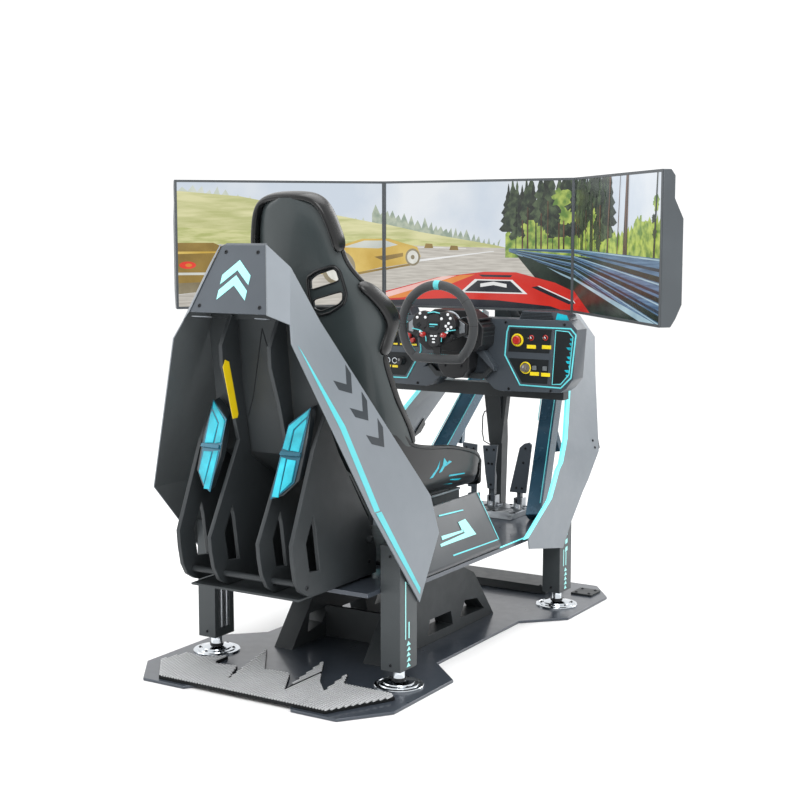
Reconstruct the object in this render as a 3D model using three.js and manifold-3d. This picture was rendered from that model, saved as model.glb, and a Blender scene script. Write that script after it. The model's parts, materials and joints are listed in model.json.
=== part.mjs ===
// Sit-down racing cabinet: a bucket seat, wheel, pedals and three screens on a moving platform.
// Millimetres, +Z up, +Y towards the screens, +X to the driver's right, floor at z = 0.
import * as THREE from 'three';
import { mergeVertices } from 'three/addons/utils/BufferGeometryUtils.js';
import Module from 'manifold-3d';

const wasm = await Module();
wasm.setup();

// ---- driving dimensions ----
const GAP = 0.3; // clearance left between two pieces that touch
const SHEET = 4; // thickness of the folded body panels
const BASE_TOP = 8; // thickness of the floor plate
const DECK_BOTTOM = 270;
const DECK_TOP = 282;
const LEG_X = 317; // centre of each actuator leg, either side
const LEG_REAR_Y = -585;
const LEG_FRONT_Y = 411;
const LEG_WIDTH = 62;
const LEG_LENGTH = 88;
const LEG_WALL = 4;
const LEG_BOTTOM = 58;
const ROD_RADIUS = 17;
const FOOT_RADIUS = 69;
const PIVOT_Y = -85; // the platform tilts about this point
const PIVOT_Z = 246;
const SEAT_RECLINE = THREE.MathUtils.degToRad(14);
const WHEEL = { y: 165, z: 936, radius: 132, grip: 15 };
const DASH_FACE_Y = 330;
const DASH_DEPTH = 75;
const SCREEN = { width: 720, bottom: 978, top: 1409, faceY: 415, foldDegrees: 45.9 };
const FRONT_BAR = 55;

// ---- materials ----
const paint = (color, roughness = 0.45, metalness = 0.2) =>
  new THREE.MeshStandardMaterial({ color, roughness, metalness });
const floorBlue = paint(0x56657a, 0.2, 0.5);
const panelGrey = paint(0x8b949c, 0.45, 0.3);
const plateGrey = paint(0x555f69, 0.45, 0.3);
const frameDark = paint(0x33373c, 0.5, 0.3);
const treadBlack = paint(0x1c1e21, 0.55, 0.4);
const chrome = paint(0xd8dadc, 0.12, 1.0);
const steel = paint(0x8f959b, 0.35, 0.9);
const shellBlack = paint(0x17181a, 0.15, 0.0);
const fabricBlack = paint(0x222426, 0.9, 0.0);
const rubberBlack = paint(0x1b1c1d, 0.8, 0.0);
const plasticBlack = paint(0x202225, 0.5, 0.0);
const lampCyan = paint(0x45dfe8, 0.25, 0.0);
const buttonRed = paint(0xc8281e, 0.35, 0.0);

// ---- solids: geometry in, closed solid out ----
function solid(geometry) {
  const bare = geometry.clone();
  for (const name of Object.keys(bare.attributes)) {
    if (name !== 'position') bare.deleteAttribute(name);
  }
  const merged = mergeVertices(bare, 0.001);
  return new wasm.Manifold(new wasm.Mesh({
    numProp: 3,
    vertProperties: new Float32Array(merged.attributes.position.array),
    triVerts: new Uint32Array(merged.index.array),
  }));
}

function toGeometry(body) {
  const mesh = body.getMesh();
  const geometry = new THREE.BufferGeometry();
  geometry.setAttribute('position', new THREE.BufferAttribute(mesh.vertProperties, 3));
  geometry.setIndex(new THREE.BufferAttribute(mesh.triVerts, 1));
  return geometry;
}

const join = (...parts) => parts.reduce((a, b) => a.add(b));
const cut = (body, ...tools) => tools.reduce((a, b) => a.subtract(b), body);
const moved = (body, x, y, z) => body.translate([x, y, z]);

// A box from its two opposite corners.
function block(x0, x1, y0, y1, z0, z1) {
  const geometry = new THREE.BoxGeometry(x1 - x0, y1 - y0, z1 - z0);
  geometry.translate((x0 + x1) / 2, (y0 + y1) / 2, (z0 + z1) / 2);
  return solid(geometry);
}

// A cylinder along x, y or z, from one end to the other.
function round(axis, radius, from, to, a, b, sides = 20) {
  const geometry = new THREE.CylinderGeometry(radius, radius, to - from, sides);
  const middle = (from + to) / 2;
  if (axis === 'x') geometry.rotateZ(Math.PI / 2).translate(middle, a, b);
  if (axis === 'y') geometry.translate(a, middle, b);
  if (axis === 'z') geometry.rotateX(Math.PI / 2).translate(a, b, middle);
  return solid(geometry);
}

function outline(points) {
  return new THREE.Shape(points.map(([a, b]) => new THREE.Vector2(a, b)));
}

function extrude(shape, depth) {
  return new THREE.ExtrudeGeometry(shape, { depth, bevelEnabled: false, curveSegments: 8 });
}

// Plates with an outline in one plane, from one height to another along the third axis.
function plateXY(points, z0, z1) {
  return solid(extrude(outline(points), z1 - z0).translate(0, 0, z0));
}

function plateYZ(points, x0, x1) {
  const geometry = extrude(outline(points), x1 - x0);
  geometry.applyMatrix4(new THREE.Matrix4().set(0, 0, 1, x0, 1, 0, 0, 0, 0, 1, 0, 0, 0, 0, 0, 1));
  return solid(geometry);
}

function plateXZ(points, y0, y1) {
  const geometry = extrude(outline(points), y1 - y0);
  geometry.applyMatrix4(new THREE.Matrix4().set(1, 0, 0, 0, 0, 0, -1, y1, 0, 1, 0, 0, 0, 0, 0, 1));
  return solid(geometry);
}

// Both halves of an outline given for x >= 0, listed from one end of the centre line to the other.
function bothSides(half) {
  const other = half.filter(([x]) => x > 0).map(([x, y]) => [-x, y]).reverse();
  return [...half, ...other];
}

// A folded sheet: facets over shared corners, made thick by an offset.
function foldedSheet(corners, facets, offset) {
  const count = corners.length;
  const shift = new THREE.Vector3(...offset);
  const front = corners.map((c) => new THREE.Vector3(...c));
  const points = [...front, ...front.map((p) => p.clone().add(shift))];
  const triangles = [];
  const edges = new Map();
  for (const facet of facets) {
    const u = front[facet[1]].clone().sub(front[facet[0]]);
    const normal = new THREE.Vector3();
    for (let i = 2; i < facet.length && normal.length() < 1; i += 1) {
      normal.crossVectors(u, front[facet[i]].clone().sub(front[facet[0]]));
    }
    const across = normal.clone().normalize().cross(u).normalize();
    u.normalize();
    const flat = facet.map((i) => new THREE.Vector2(front[i].dot(u), front[i].dot(across)));
    const clockwise = THREE.ShapeUtils.area(flat) < 0;
    for (const face of THREE.ShapeUtils.triangulateShape(flat, [])) {
      const [a, b, c] = face.map((i) => facet[i]);
      triangles.push(clockwise ? [a, c, b] : [a, b, c]);
    }
  }
  for (const [a, b, c] of triangles) {
    for (const [from, to] of [[a, b], [b, c], [c, a]]) edges.set(`${from},${to}`, [from, to]);
  }
  const faces = triangles.flatMap(([a, b, c]) => [[a, b, c], [a + count, c + count, b + count]]);
  for (const [from, to] of edges.values()) {
    if (edges.has(`${to},${from}`)) continue;
    faces.push([from, from + count, to], [to, from + count, to + count]);
  }
  const geometry = new THREE.BufferGeometry().setFromPoints(points);
  geometry.setIndex(faces.flat());
  const body = solid(geometry);
  if (body.volume() > 0) return body;
  geometry.setIndex(faces.flatMap(([a, b, c]) => [a, c, b]));
  return solid(geometry);
}

// ---- the scene graph ----
const cabinet = new THREE.Group();

function add(name, body, material) {
  const mesh = new THREE.Mesh(toGeometry(body), material);
  mesh.name = name;
  cabinet.add(mesh);
}

// The same piece on both sides: built on the right, mirrored to the left.
function addPair(name, right, material) {
  add(`${name}_right`, right, material);
  add(`${name}_left`, right.mirror([1, 0, 0]), material);
}

// ---- floor plate and what is bolted to it ----
const floorHalf = [
  [0, -834], [130, -834], [181, -901], [324, -901], [420, -775], [420, -465], [303, -353],
  [303, 164], [420, 283], [420, 591], [330, 712], [0, 712],
];
add('base_plate', plateXY(bothSides(floorHalf), 0, BASE_TOP), floorBlue);

// The tread's front edge runs out in pointed teeth, swept to the left.
const TREAD = { rear: -886, front: -676, side: 375, top: 20 };
const treadEdge = [
  [280, TREAD.rear], [TREAD.side, -700], [350, TREAD.front], [196, TREAD.front], [154, -591],
  [186, -754], [128, -691], [33, -535], [87, -797], [16, -676], [-65, -684], [-177, -525],
  [-97, -809], [-150, -700], [-225, -716], [-232, -640], [-290, -683], [-350, TREAD.front],
  [-TREAD.side, -770], [-280, TREAD.rear],
];
add('rear_tread', plateXY(treadEdge, BASE_TOP + GAP, TREAD.top), treadBlack);

const RAIL = { half: 230, rear: 505, front: 660, top: 34, lip: 5 };
const railSection = [
  [RAIL.rear, BASE_TOP + GAP], [RAIL.rear + 25, BASE_TOP + GAP], [RAIL.rear + 25, RAIL.top - RAIL.lip],
  [RAIL.front - 25, RAIL.top - RAIL.lip], [RAIL.front - 25, BASE_TOP + GAP],
  [RAIL.front, BASE_TOP + GAP], [RAIL.front - 8, RAIL.top], [RAIL.rear + 8, RAIL.top],
];
add('front_rail', plateYZ(railSection, -RAIL.half, RAIL.half), frameDark);

const PEDESTAL = { inner: 125, outer: 190, top: 205, bore: 41 };
function pedestal() {
  const foot = BASE_TOP + GAP;
  const wall = [[-472, foot], [205, foot], [72, 172], [0, PEDESTAL.top], [-300, PEDESTAL.top], [-360, 148]];
  const frontWindow = [[-17, 44], [140, 40], [93, 83], [14, 94]];
  const rearWindow = [[-390, 43], [-316, 56], [-283, 102], [-380, 98]];
  const middleWindow = [[-213, 35], [-60, 35], [-75, 80], [-202, 82]];
  const windows = [frontWindow, rearWindow, middleWindow].map((w) => plateYZ(w, 100, 200));
  const right = cut(plateYZ(wall, PEDESTAL.inner, PEDESTAL.outer), ...windows);
  const cross = block(-130, 130, -292, -279, foot, 104);
  const top = block(-PEDESTAL.outer, PEDESTAL.outer, -300, 0, PEDESTAL.top - 2, PEDESTAL.top + 10);
  const bore = round('z', PEDESTAL.bore, 190, 230, 0, PIVOT_Y, 32);
  return cut(join(right, right.mirror([1, 0, 0]), cross, top), bore);
}
add('pedestal', pedestal(), frameDark);

function actuatorFoot(x, y) {
  const z = BASE_TOP + GAP;
  const profile = [
    [0, z], [FOOT_RADIUS, z], [FOOT_RADIUS, z + 5], [56, z + 8], [44, z + 9], [34, z + 14],
    [24, z + 17], [ROD_RADIUS, z + 18], [ROD_RADIUS, 185], [0, 185],
  ];
  const lathe = new THREE.LatheGeometry(profile.map(([r, h]) => new THREE.Vector2(r, h)), 24);
  return moved(solid(lathe.rotateX(Math.PI / 2)), x, y, 0);
}
for (const [end, y] of [['rear', LEG_REAR_Y], ['front', LEG_FRONT_Y]]) {
  add(`actuator_foot_${end}_right`, actuatorFoot(LEG_X, y), chrome);
  add(`actuator_foot_${end}_left`, actuatorFoot(-LEG_X, y), chrome);
}

// ---- the pivot that the platform tilts on ----
const PIN = 7.8;
const PIN_HOLE = 8.4;
function guidePost() {
  const post = round('z', 40, 90, 232, 0, PIVOT_Y, 32);
  const cheek = block(28, 37, PIVOT_Y - 20, PIVOT_Y + 20, 230, 262);
  const hole = round('x', PIN_HOLE, -60, 60, PIVOT_Y, PIVOT_Z);
  return cut(join(post, cheek, cheek.mirror([1, 0, 0])), hole);
}
add('guide_post', guidePost(), steel);

function pivotCross() {
  const heart = block(-24, 24, PIVOT_Y - 24, PIVOT_Y + 24, PIVOT_Z - 11, PIVOT_Z + 11);
  const across = round('x', PIN, -38, 38, PIVOT_Y, PIVOT_Z);
  const along = round('y', PIN, PIVOT_Y - 38, PIVOT_Y + 38, 0, PIVOT_Z);
  return join(heart, across, along);
}
add('pivot_cross', pivotCross(), steel);

// ---- deck, legs and sills ----
function deckPan() {
  const half = [
    [0, -690], [284, -690], [284, -535], [329, -535], [329, 360], [284, 360], [284, 457],
    [200, 620], [0, 620],
  ];
  const pan = plateXY(bothSides(half), DECK_BOTTOM, DECK_TOP);
  const lug = block(-20, 20, PIVOT_Y + 28, PIVOT_Y + 37, 234, DECK_BOTTOM + 1);
  const otherLug = moved(lug, 0, -65, 0);
  const hole = round('y', PIN_HOLE, PIVOT_Y - 60, PIVOT_Y + 60, 0, PIVOT_Z);
  return join(pan, cut(lug, hole), cut(otherLug, hole));
}
add('deck_pan', deckPan(), floorBlue);

function legHousing(y, top, windowSide) {
  const w = LEG_WIDTH / 2;
  const l = LEG_LENGTH / 2;
  const tube = block(LEG_X - w, LEG_X + w, y - l, y + l, LEG_BOTTOM, top);
  const core = block(
    LEG_X - w + LEG_WALL, LEG_X + w - LEG_WALL, y - l + LEG_WALL, y + l - LEG_WALL,
    LEG_BOTTOM - 1, top - LEG_WALL,
  );
  const inner = LEG_X - w;
  const slot = block(inner - 1, inner + LEG_WALL + 1, y - 24, y + 24, windowSide.from, windowSide.to);
  return cut(tube, core, slot);
}
addPair('leg_housing_rear', legHousing(LEG_REAR_Y, 405, { from: 84, to: 235 }), plateGrey);
addPair('leg_housing_front', legHousing(LEG_FRONT_Y, 300, { from: 84, to: 200 }), plateGrey);

// A pressed side panel, open underneath towards the deck.
const sillSection = [
  [248, 450], [328, 308], [334, 296], [332, 286], [324, 283], [236, 283], [236, 289],
  [318, 289], [322, 300], [240, 447],
];
addPair('sill', plateXZ(sillSection, -530, -20), floorBlue);

// ---- grey body panels ----
const lowerPanelX = (z) => 343.4 + 0.045 * z;
const wingX = (z) => Math.min(574 - 0.395 * z, lowerPanelX(z));
const bladeX = (z) => Math.min(566.5 - 0.405 * z, lowerPanelX(z));
const onWing = ([y, z]) => [wingX(z), y, z];
const onBlade = ([y, z]) => [bladeX(z), y, z];
const WING_CREASE = 526;
const BLADE_CREASE = 498;

// The x of a point at (y, z) on the plane through three corners.
function planeX(a, b, c, y, z) {
  const plane = new THREE.Plane().setFromCoplanarPoints(
    new THREE.Vector3(...a), new THREE.Vector3(...b), new THREE.Vector3(...c));
  return -(plane.constant + plane.normal.y * y + plane.normal.z * z) / plane.normal.x;
}

function wingPanel() {
  const shoulder = [135, -818, 1150];
  const plateCorner = [130, -914, 1030];
  const fold = onWing([-879, 1006]);
  const top = [planeX(shoulder, plateCorner, fold, -842, 1208), -842, 1208];
  const corners = [
    top, shoulder, plateCorner, fold, onWing([-746, 1008]), onWing([-899, 959]),
    onWing([-795, WING_CREASE]), onWing([-499, WING_CREASE]), onWing([-445, 412]),
    onWing([-536, 234]),
  ];
  const facets = [[0, 2, 3, 1], [3, 4, 1], [3, 5, 6, 7, 4], [6, 9, 8, 7]];
  return foldedSheet(corners, facets, [-SHEET, 0, 0]);
}
addPair('wing_panel', wingPanel(), panelGrey);

function numberPlate() {
  const half = [[50, -829, 1215], [62, -840, 1205], [119, -911, 1032], [112, -904, 1024]];
  const corners = [...half, ...half.map(([x, y, z]) => [-x, y, z]).reverse()];
  return foldedSheet(corners, [[0, 1, 6, 7], [1, 2, 5, 6], [2, 3, 4, 5]], [0, 4.6, -1.9]);
}
add('number_plate', numberPlate(), plateGrey);

// ---- the four upright fins and the panel they stand on ----
const FIN = 12;
const outerFin = [
  [-748, 762], [-804, 676], [-903, 441], [-899, 395], [-889, 346], [-871, 315], [-841, 297],
  [-823, 291], [-505, 291], [-505, 365], [-548, 457], [-690, 656],
];
const innerFin = [
  [-800, 1020], [-844, 942], [-841, 889], [-805, 791], [-773, 679], [-903, 434], [-899, 395],
  [-889, 350], [-867, 312], [-833, 291], [-521, 291], [-529, 449], [-622, 571], [-722, 633],
  [-745, 760], [-775, 1010],
];
const finWindow = [[-809, 504], [-842, 436], [-827, 358], [-780, 353], [-798, 470]];
function fin(points, window, x) {
  return cut(plateYZ(points, x - FIN / 2, x + FIN / 2), plateYZ(window, x - FIN, x + FIN));
}
addPair('outer_fin', fin(outerFin, finWindow, 187), frameDark);
addPair('inner_fin', fin(innerFin, finWindow, 80), frameDark);

// The panel stands between the fins and the seat, and folds back under the fins as their floor.
const rearShell = [
  [-768, 1010], [-738, 760], [-714, 640], [-616, 578], [-522, 452], [-514, 289.5], [-860, 289.5],
  [-860, 283], [-506, 283], [-506, 290], [-514, 455], [-610, 585], [-707, 647], [-731, 762], [-761, 1010],
];
function rearPanel() {
  const corner = plateXZ([[168, 1012], [181, 973], [190, 973], [190, 1012]], -790, -740);
  return cut(plateYZ(rearShell, -180, 180), corner, corner.mirror([1, 0, 0]));
}
add('rear_shell', rearPanel(), frameDark);

function tailLamp() {
  const face = [
    [107, -790, 740], [140, -779, 768], [165, -772, 781], [173, -806, 700], [170, -841, 599],
    [135, -860, 560], [105, -869, 549], [96, -830, 640],
  ];
  const facets = [[0, 1, 2, 3, 7], [7, 3, 4, 5, 6]];
  return foldedSheet(face, facets, [0, 27, 9]);
}
addPair('tail_lamp', tailLamp(), lampCyan);

// ---- front blades with their light strips ----
const bladeEdge = [
  [774, 946], [543, 700], [405, 562], [318, BLADE_CREASE], [295, 481], [247, 391], [168, 340],
  [90, 291], [101, 254],
];
const STRIP = 28;
function bladeBack() {
  return bladeEdge.map(([y, z]) => [y + STRIP + 2 * GAP, z]);
}
function frontBlade() {
  const back = bladeBack();
  const upperFront = [[806, 955], [854, 942], [914, 862], [809, 736], [630, BLADE_CREASE]];
  const lowerFront = [[552, 410], [516, 378], [427, 278], [382, 209]];
  const upperBack = back.slice(0, 4);
  const lowerBack = back.slice(4);
  const corners = [...upperBack, ...lowerBack, ...upperFront, ...lowerFront].map(onBlade);
  const at = back.length;
  const crease = at + upperFront.length - 1;
  const upper = [0, 1, 2, 3, crease, crease - 1, crease - 2, crease - 3, crease - 4];
  const lower = [3, 4, 5, 6, 7, 8, crease + 4, crease + 3, crease + 2, crease + 1, crease];
  return foldedSheet(corners, [upper, lower], [-SHEET, 0, 0]);
}
addPair('front_blade', frontBlade(), panelGrey);

function lightStrip() {
  const outer = bladeEdge.slice(0, 8);
  const inner = outer.map(([y, z]) => [y + STRIP, z]);
  const corners = [...outer, ...inner].map(onBlade);
  const facets = outer.slice(1).map((_, i) => [i, i + 1, i + 1 + outer.length, i + outer.length]);
  return foldedSheet(corners, facets, [-7, 0, 0]);
}
addPair('light_strip', lightStrip(), lampCyan);

// ---- square bars that carry the screens ----
function bar(path, width, height) {
  const section = outline([
    [-height / 2, -width / 2], [height / 2, -width / 2], [height / 2, width / 2], [-height / 2, width / 2],
  ]);
  const route = new THREE.CurvePath();
  for (let i = 1; i < path.length; i += 1) {
    route.add(new THREE.LineCurve3(new THREE.Vector3(...path[i - 1]), new THREE.Vector3(...path[i])));
  }
  return solid(new THREE.ExtrudeGeometry(section, { steps: path.length - 1, extrudePath: route }));
}
function frontBar() {
  const foot = [238, 409, 290];
  const head = [106, 872, 893];
  const upright = bar([foot, head], FRONT_BAR, FRONT_BAR);
  const brace = bar([[172, 640, 600], [196, 668, 480]], 26, 26);
  const deckCut = block(100, 400, 300, 600, 200, DECK_TOP + GAP);
  return cut(join(upright, brace), deckCut);
}
addPair('front_bar', frontBar(), frameDark);

// ---- dash, steering base and centre column ----
const dashHalf = [
  [0, 956], [389, 957], [414, 929], [403, 770], [379, 739], [358, 725], [142, 719], [118, 726],
  [104, 740], [82, 758], [0, 757],
];
const HOOD = { inner: 200, outer: 330, top: 983 };
const DASH_CONTROLS = {
  stop: { x: 205, z: 889 },
  toggles: [{ x: 255, z: 898 }, { x: 305, z: 900 }],
  rightKnob: { x: 235, z: 800 },
  leftKnob: { x: -235, z: 800 },
  leftButton: { x: -205, z: 889 },
};
function dashPanel() {
  const face = plateXZ(bothSides(dashHalf), DASH_FACE_Y, DASH_FACE_Y + DASH_DEPTH);
  const hood = plateXZ([[HOOD.inner, 950], [389, 950], [375, 975], [HOOD.outer, HOOD.top], [215, HOOD.top]],
    DASH_FACE_Y + 12, DASH_FACE_Y + DASH_DEPTH - 4);
  const { stop, leftButton } = DASH_CONTROLS;
  const holes = [stop, leftButton].map((c) =>
    round('y', 10, DASH_FACE_Y - 1, DASH_FACE_Y + 14, c.x, c.z, 16));
  return cut(join(face, hood, hood.mirror([1, 0, 0])), ...holes);
}
add('dash_panel', dashPanel(), plateGrey);

const COLUMN = { half: 24, rear: 566, front: 606 };
function dashFrame() {
  const tube = block(-335, 335, 405.3, 445, 692, 735);
  const profile = [
    [COLUMN.rear, DECK_TOP + GAP], [COLUMN.front, DECK_TOP + GAP], [COLUMN.front + 12, 520],
    [COLUMN.front, 730], [440, 730], [440, 692], [COLUMN.rear - 10, 688], [COLUMN.rear + 8, 520],
  ];
  const web = plateXZ(bothSides([[0, 688], [46, 688], [40, 640], [32, 575], [COLUMN.half, 505], [0, 505]]),
    COLUMN.rear + 2, COLUMN.front - 10);
  return join(tube, plateYZ(profile, -COLUMN.half, COLUMN.half), web);
}
add('dash_frame', dashFrame(), frameDark);

function wheelBase() {
  const face = DASH_FACE_Y - GAP;
  const half = [[0, 985], [60, 985], [95, 965], [123, 930], [118, 872], [90, 850], [0, 850]];
  const body = plateXZ(bothSides(half), 246, face);
  const shroud = plateXZ(bothSides([[0, 852], [62, 852], [56, 790], [34, 762], [0, 757]]), 268, face);
  return join(body, shroud);
}
add('wheel_base', wheelBase(), plasticBlack);

// ---- pedals ----
const TRAY = { left: -100, right: 166, rear: 395, front: 548, top: 300 };
const PEDALS = [
  {
    name: 'throttle_pedal',
    x: 132,
    face: [[101, 356], [163, 356], [191, 527], [182, 535], [164, 530], [146, 515]],
  },
  { name: 'brake_pedal', x: 30, face: [[16, 360], [44, 360], [50, 440], [62, 516], [5, 511], [10, 416]] },
  {
    name: 'clutch_pedal',
    x: -46,
    face: [[-60, 360], [-32, 360], [-24, 440], [-18, 512], [-74, 516], [-66, 416]],
  },
];
const PEDAL_HINGE = { y: 500, z: 322 };
function pedalTray() {
  const floor = block(TRAY.left, TRAY.right, TRAY.rear, TRAY.front, DECK_TOP + GAP, TRAY.top);
  const toeSection = [
    [TRAY.rear, DECK_TOP + GAP], [TRAY.rear, TRAY.top],
    [TRAY.rear - 25, DECK_TOP + GAP + 2], [TRAY.rear - 25, DECK_TOP + GAP],
  ];
  const toe = plateYZ(toeSection, TRAY.left, TRAY.right);
  const cheeks = PEDALS.flatMap(({ x }) => [x - 16, x + 10].map((side) =>
    block(side, side + 6, PEDAL_HINGE.y - 16, PEDAL_HINGE.y + 16, TRAY.top - 1, PEDAL_HINGE.z + 14)));
  return join(floor, toe, ...cheeks);
}
add('pedal_tray', pedalTray(), steel);

const PEDAL_LEAN = 5.7; // degrees that each footplate leans towards the driver
function pedal({ x, face }) {
  const { y, z } = PEDAL_HINGE;
  const arm = plateYZ([[y - 8, 312], [y + 8, 312], [y + 12, 400], [y - 2, 440], [y - 18, 440], [y - 8, 400]],
    x - 7, x + 7);
  const plate = moved(plateXZ(face.map(([a, b]) => [a, b - 400]), -14, -7).rotate([PEDAL_LEAN, 0, 0]),
    0, y - 8, 400);
  const pin = round('x', 6, x - 9.5, x + 9.5, y, z, 12);
  const stay = block(x - 7, x + 7, y - 18, y + 2, 375, 400);
  return join(arm, plate, pin, stay);
}
for (const spec of PEDALS) add(spec.name, pedal(spec), steel);

// ---- seat stand and seat ----
const STAND = { half: 165, rear: -400, front: 20, top: 445, wall: 12 };
function seatStand() {
  const { half, wall, top } = STAND;
  const z = DECK_TOP + GAP;
  const channel = [
    [-half, z], [half, z], [half, top], [half - wall, top], [half - wall, z + wall],
    [wall - half, z + wall], [wall - half, top], [-half, top],
  ];
  return plateXZ(channel, STAND.rear, STAND.front);
}
add('seat_stand', seatStand(), frameDark);

// Across the seat and up along its back; the back leans rearward by SEAT_RECLINE.
const SEAT_FOOT = { y: -412, z: 470 };
const SHELL_BACK = 34;
function leaned(points, from, to) {
  const geometry = extrude(outline(points), to - from);
  geometry.translate(0, 0, from);
  geometry.rotateX(Math.PI / 2);
  geometry.rotateX(SEAT_RECLINE);
  geometry.translate(0, SEAT_FOOT.y, SEAT_FOOT.z);
  return solid(geometry);
}
const backHalf = [
  [0, 0], [170, 0], [212, 120], [226, 300], [236, 430], [252, 520], [238, 590], [206, 640],
  [176, 690], [150, 726], [152, 742], [142, 800], [118, 868], [92, 896], [0, 904],
];
// The harness slots rise towards their outer ends.
const HARNESS = [
  [[41, 1080], [134, 1107], [129, 1133], [121, 1141], [69, 1124], [45, 1109]],
  [[43, 1030], [65, 1022], [123, 1043], [136, 1056], [139, 1073], [135, 1079], [43, 1054]],
];
function harnessSlots() {
  const right = HARNESS.map((points) => plateXZ(points, -660, -420));
  return [...right, ...right.map((s) => s.mirror([1, 0, 0]))];
}
function seatShell() {
  const back = cut(leaned(bothSides(backHalf), 0, SHELL_BACK), ...harnessSlots());
  const side = [
    [-392, 465], [-250, 450], [40, 432], [100, 434], [104, 492], [51, 548], [-137, 599],
    [-340, 632], [-440, 770], [-500, 905], [-470, 985], [-520, 1040], [-575, 1040],
    [-560, 900], [-500, 640],
  ];
  const bolster = plateYZ(side, 196, 220);
  const pan = plateYZ([[-400, 462], [92, 446], [92, 472], [-400, 488]], -200, 200);
  const runner = block(142, 176, -360, 10, STAND.top + GAP, 466);
  return join(back, bolster, bolster.mirror([1, 0, 0]), pan, runner, runner.mirror([1, 0, 0]));
}
add('seat_shell', seatShell(), shellBlack);

const CUSHION = [
  [-372, 492], [92, 476], [106, 500], [96, 530], [40, 556], [-120, 562], [-360, 566],
];
add('seat_cushion', plateYZ(CUSHION, -195, 195), fabricBlack);

function backPad() {
  const half = [
    [0, 102], [150, 102], [190, 200], [192, 500], [190, 620], [162, 690], [146, 726],
    [150, 748], [142, 800], [116, 862], [90, 888], [0, 896],
  ];
  return cut(leaned(bothSides(half), -62, -GAP), ...harnessSlots());
}
add('seat_back_pad', backPad(), fabricBlack);

// ---- steering wheel ----
function wheelRim() {
  const { radius, grip } = WHEEL;
  const flat = -0.8 * radius;
  const torus = new THREE.TorusGeometry(radius, grip, 8, 36);
  const position = torus.attributes.position;
  for (let i = 0; i < position.count; i += 1) {
    const angle = Math.atan2(position.getY(i), position.getX(i));
    const centre = radius * Math.sin(angle);
    if (centre < flat) position.setY(i, position.getY(i) + flat - centre);
  }
  torus.rotateX(Math.PI / 2);
  return moved(solid(torus), 0, WHEEL.y, WHEEL.z);
}
add('wheel_rim', wheelRim(), rubberBlack);

function wheelHub() {
  const { y, z, radius, grip } = WHEEL;
  const reach = radius - grip - 4;
  const plate = [
    [reach, 8], [reach, -22], [62, -40], [26, -58], [-26, -58], [-62, -40], [-reach, -22],
    [-reach, 8], [-66, 34], [-40, 44], [40, 44], [66, 34],
  ].map(([a, b]) => [a, b + z]);
  const spider = plateXZ(plate, y - 6, y + 4);
  const foot = block(-13, 13, y - 5, y + 3, z - 0.8 * radius + grip + 1, z - 50);
  const box = plateXZ([[-46, -34], [46, -34], [58, 0], [46, 38], [-46, 38], [-58, 0]].map(([a, b]) =>
    [a, b + z]), y - 24, y + 24);
  const boss = round('y', 26, y + 20, 245.7, 0, z, 24);
  return join(spider, foot, box, boss);
}
add('wheel_hub', wheelHub(), plasticBlack);

const PADDLE = { x: 30, y: 197 };
function paddle() {
  const blade = plateXZ([[26, 920], [40, 914], [92, 898], [100, 930], [88, 968], [40, 956], [26, 950]],
    PADDLE.y, PADDLE.y + 4);
  return blade;
}
addPair('shift_paddle', paddle().translate([2, 0, 0]), steel);
const HUB_KNOB = { x: 38, z: 910 };
addPair('hub_knob', round('y', 9, 126, WHEEL.y - 24 - GAP, HUB_KNOB.x, HUB_KNOB.z, 16), buttonRed);

// ---- controls on the dash ----
const FACE = DASH_FACE_Y - GAP;
function pushButton({ x, z }, cap) {
  const head = round('y', cap, FACE - 16, FACE - 7, x, z, 20);
  const stem = round('y', 8, FACE - 8, FACE + 6, x, z, 16);
  return join(head, stem);
}
function dashKnob({ x, z }, radius) {
  const skirt = round('y', radius, FACE - 8, FACE, x, z, 20);
  const half = { across: radius * 0.3, along: radius * 0.9 };
  const grip = block(x - half.across, x + half.across, FACE - 20, FACE - 6, z - half.along, z + half.along);
  return join(skirt, grip);
}
function toggle({ x, z }) {
  const lever = round('y', 3, FACE - 26, FACE - 6, x, z, 10);
  const ball = new THREE.SphereGeometry(5, 10, 8);
  return join(lever, moved(solid(ball), x, FACE - 6, z));
}
add('stop_button', pushButton(DASH_CONTROLS.stop, 14), buttonRed);
add('right_dash_knob', dashKnob(DASH_CONTROLS.rightKnob, 15), buttonRed);
DASH_CONTROLS.toggles.forEach((place, i) => add(`toggle_switch_${i + 1}`, toggle(place), chrome));
add('left_dash_knob', dashKnob(DASH_CONTROLS.leftKnob, 15), plasticBlack);
add('left_dash_button', pushButton(DASH_CONTROLS.leftButton, 12), buttonRed);

// ---- screens ----
// Depth and height of the casing: thin at the rim, deeper where the electronics are.
const casing = [
  [0, SCREEN.bottom], [30, SCREEN.bottom], [44, 1000], [62, 1040], [62, 1275], [36, 1330],
  [36, 1392], [24, SCREEN.top], [0, SCREEN.top],
];
function monitor() {
  const half = SCREEN.width / 2 - GAP;
  return plateYZ(casing, -half, half);
}
// The side screens fold towards the driver about the centre screen's edges.
const foldAngle = THREE.MathUtils.degToRad(SCREEN.foldDegrees);
function sideMonitor() {
  const turned = moved(monitor(), SCREEN.width / 2, 0, 0).rotate([0, 0, -SCREEN.foldDegrees]);
  return moved(turned, SCREEN.width / 2, SCREEN.faceY, 0);
}
add('monitor_centre', moved(monitor(), 0, SCREEN.faceY, 0), plasticBlack);
addPair('monitor', sideMonitor(), plasticBlack);

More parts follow.
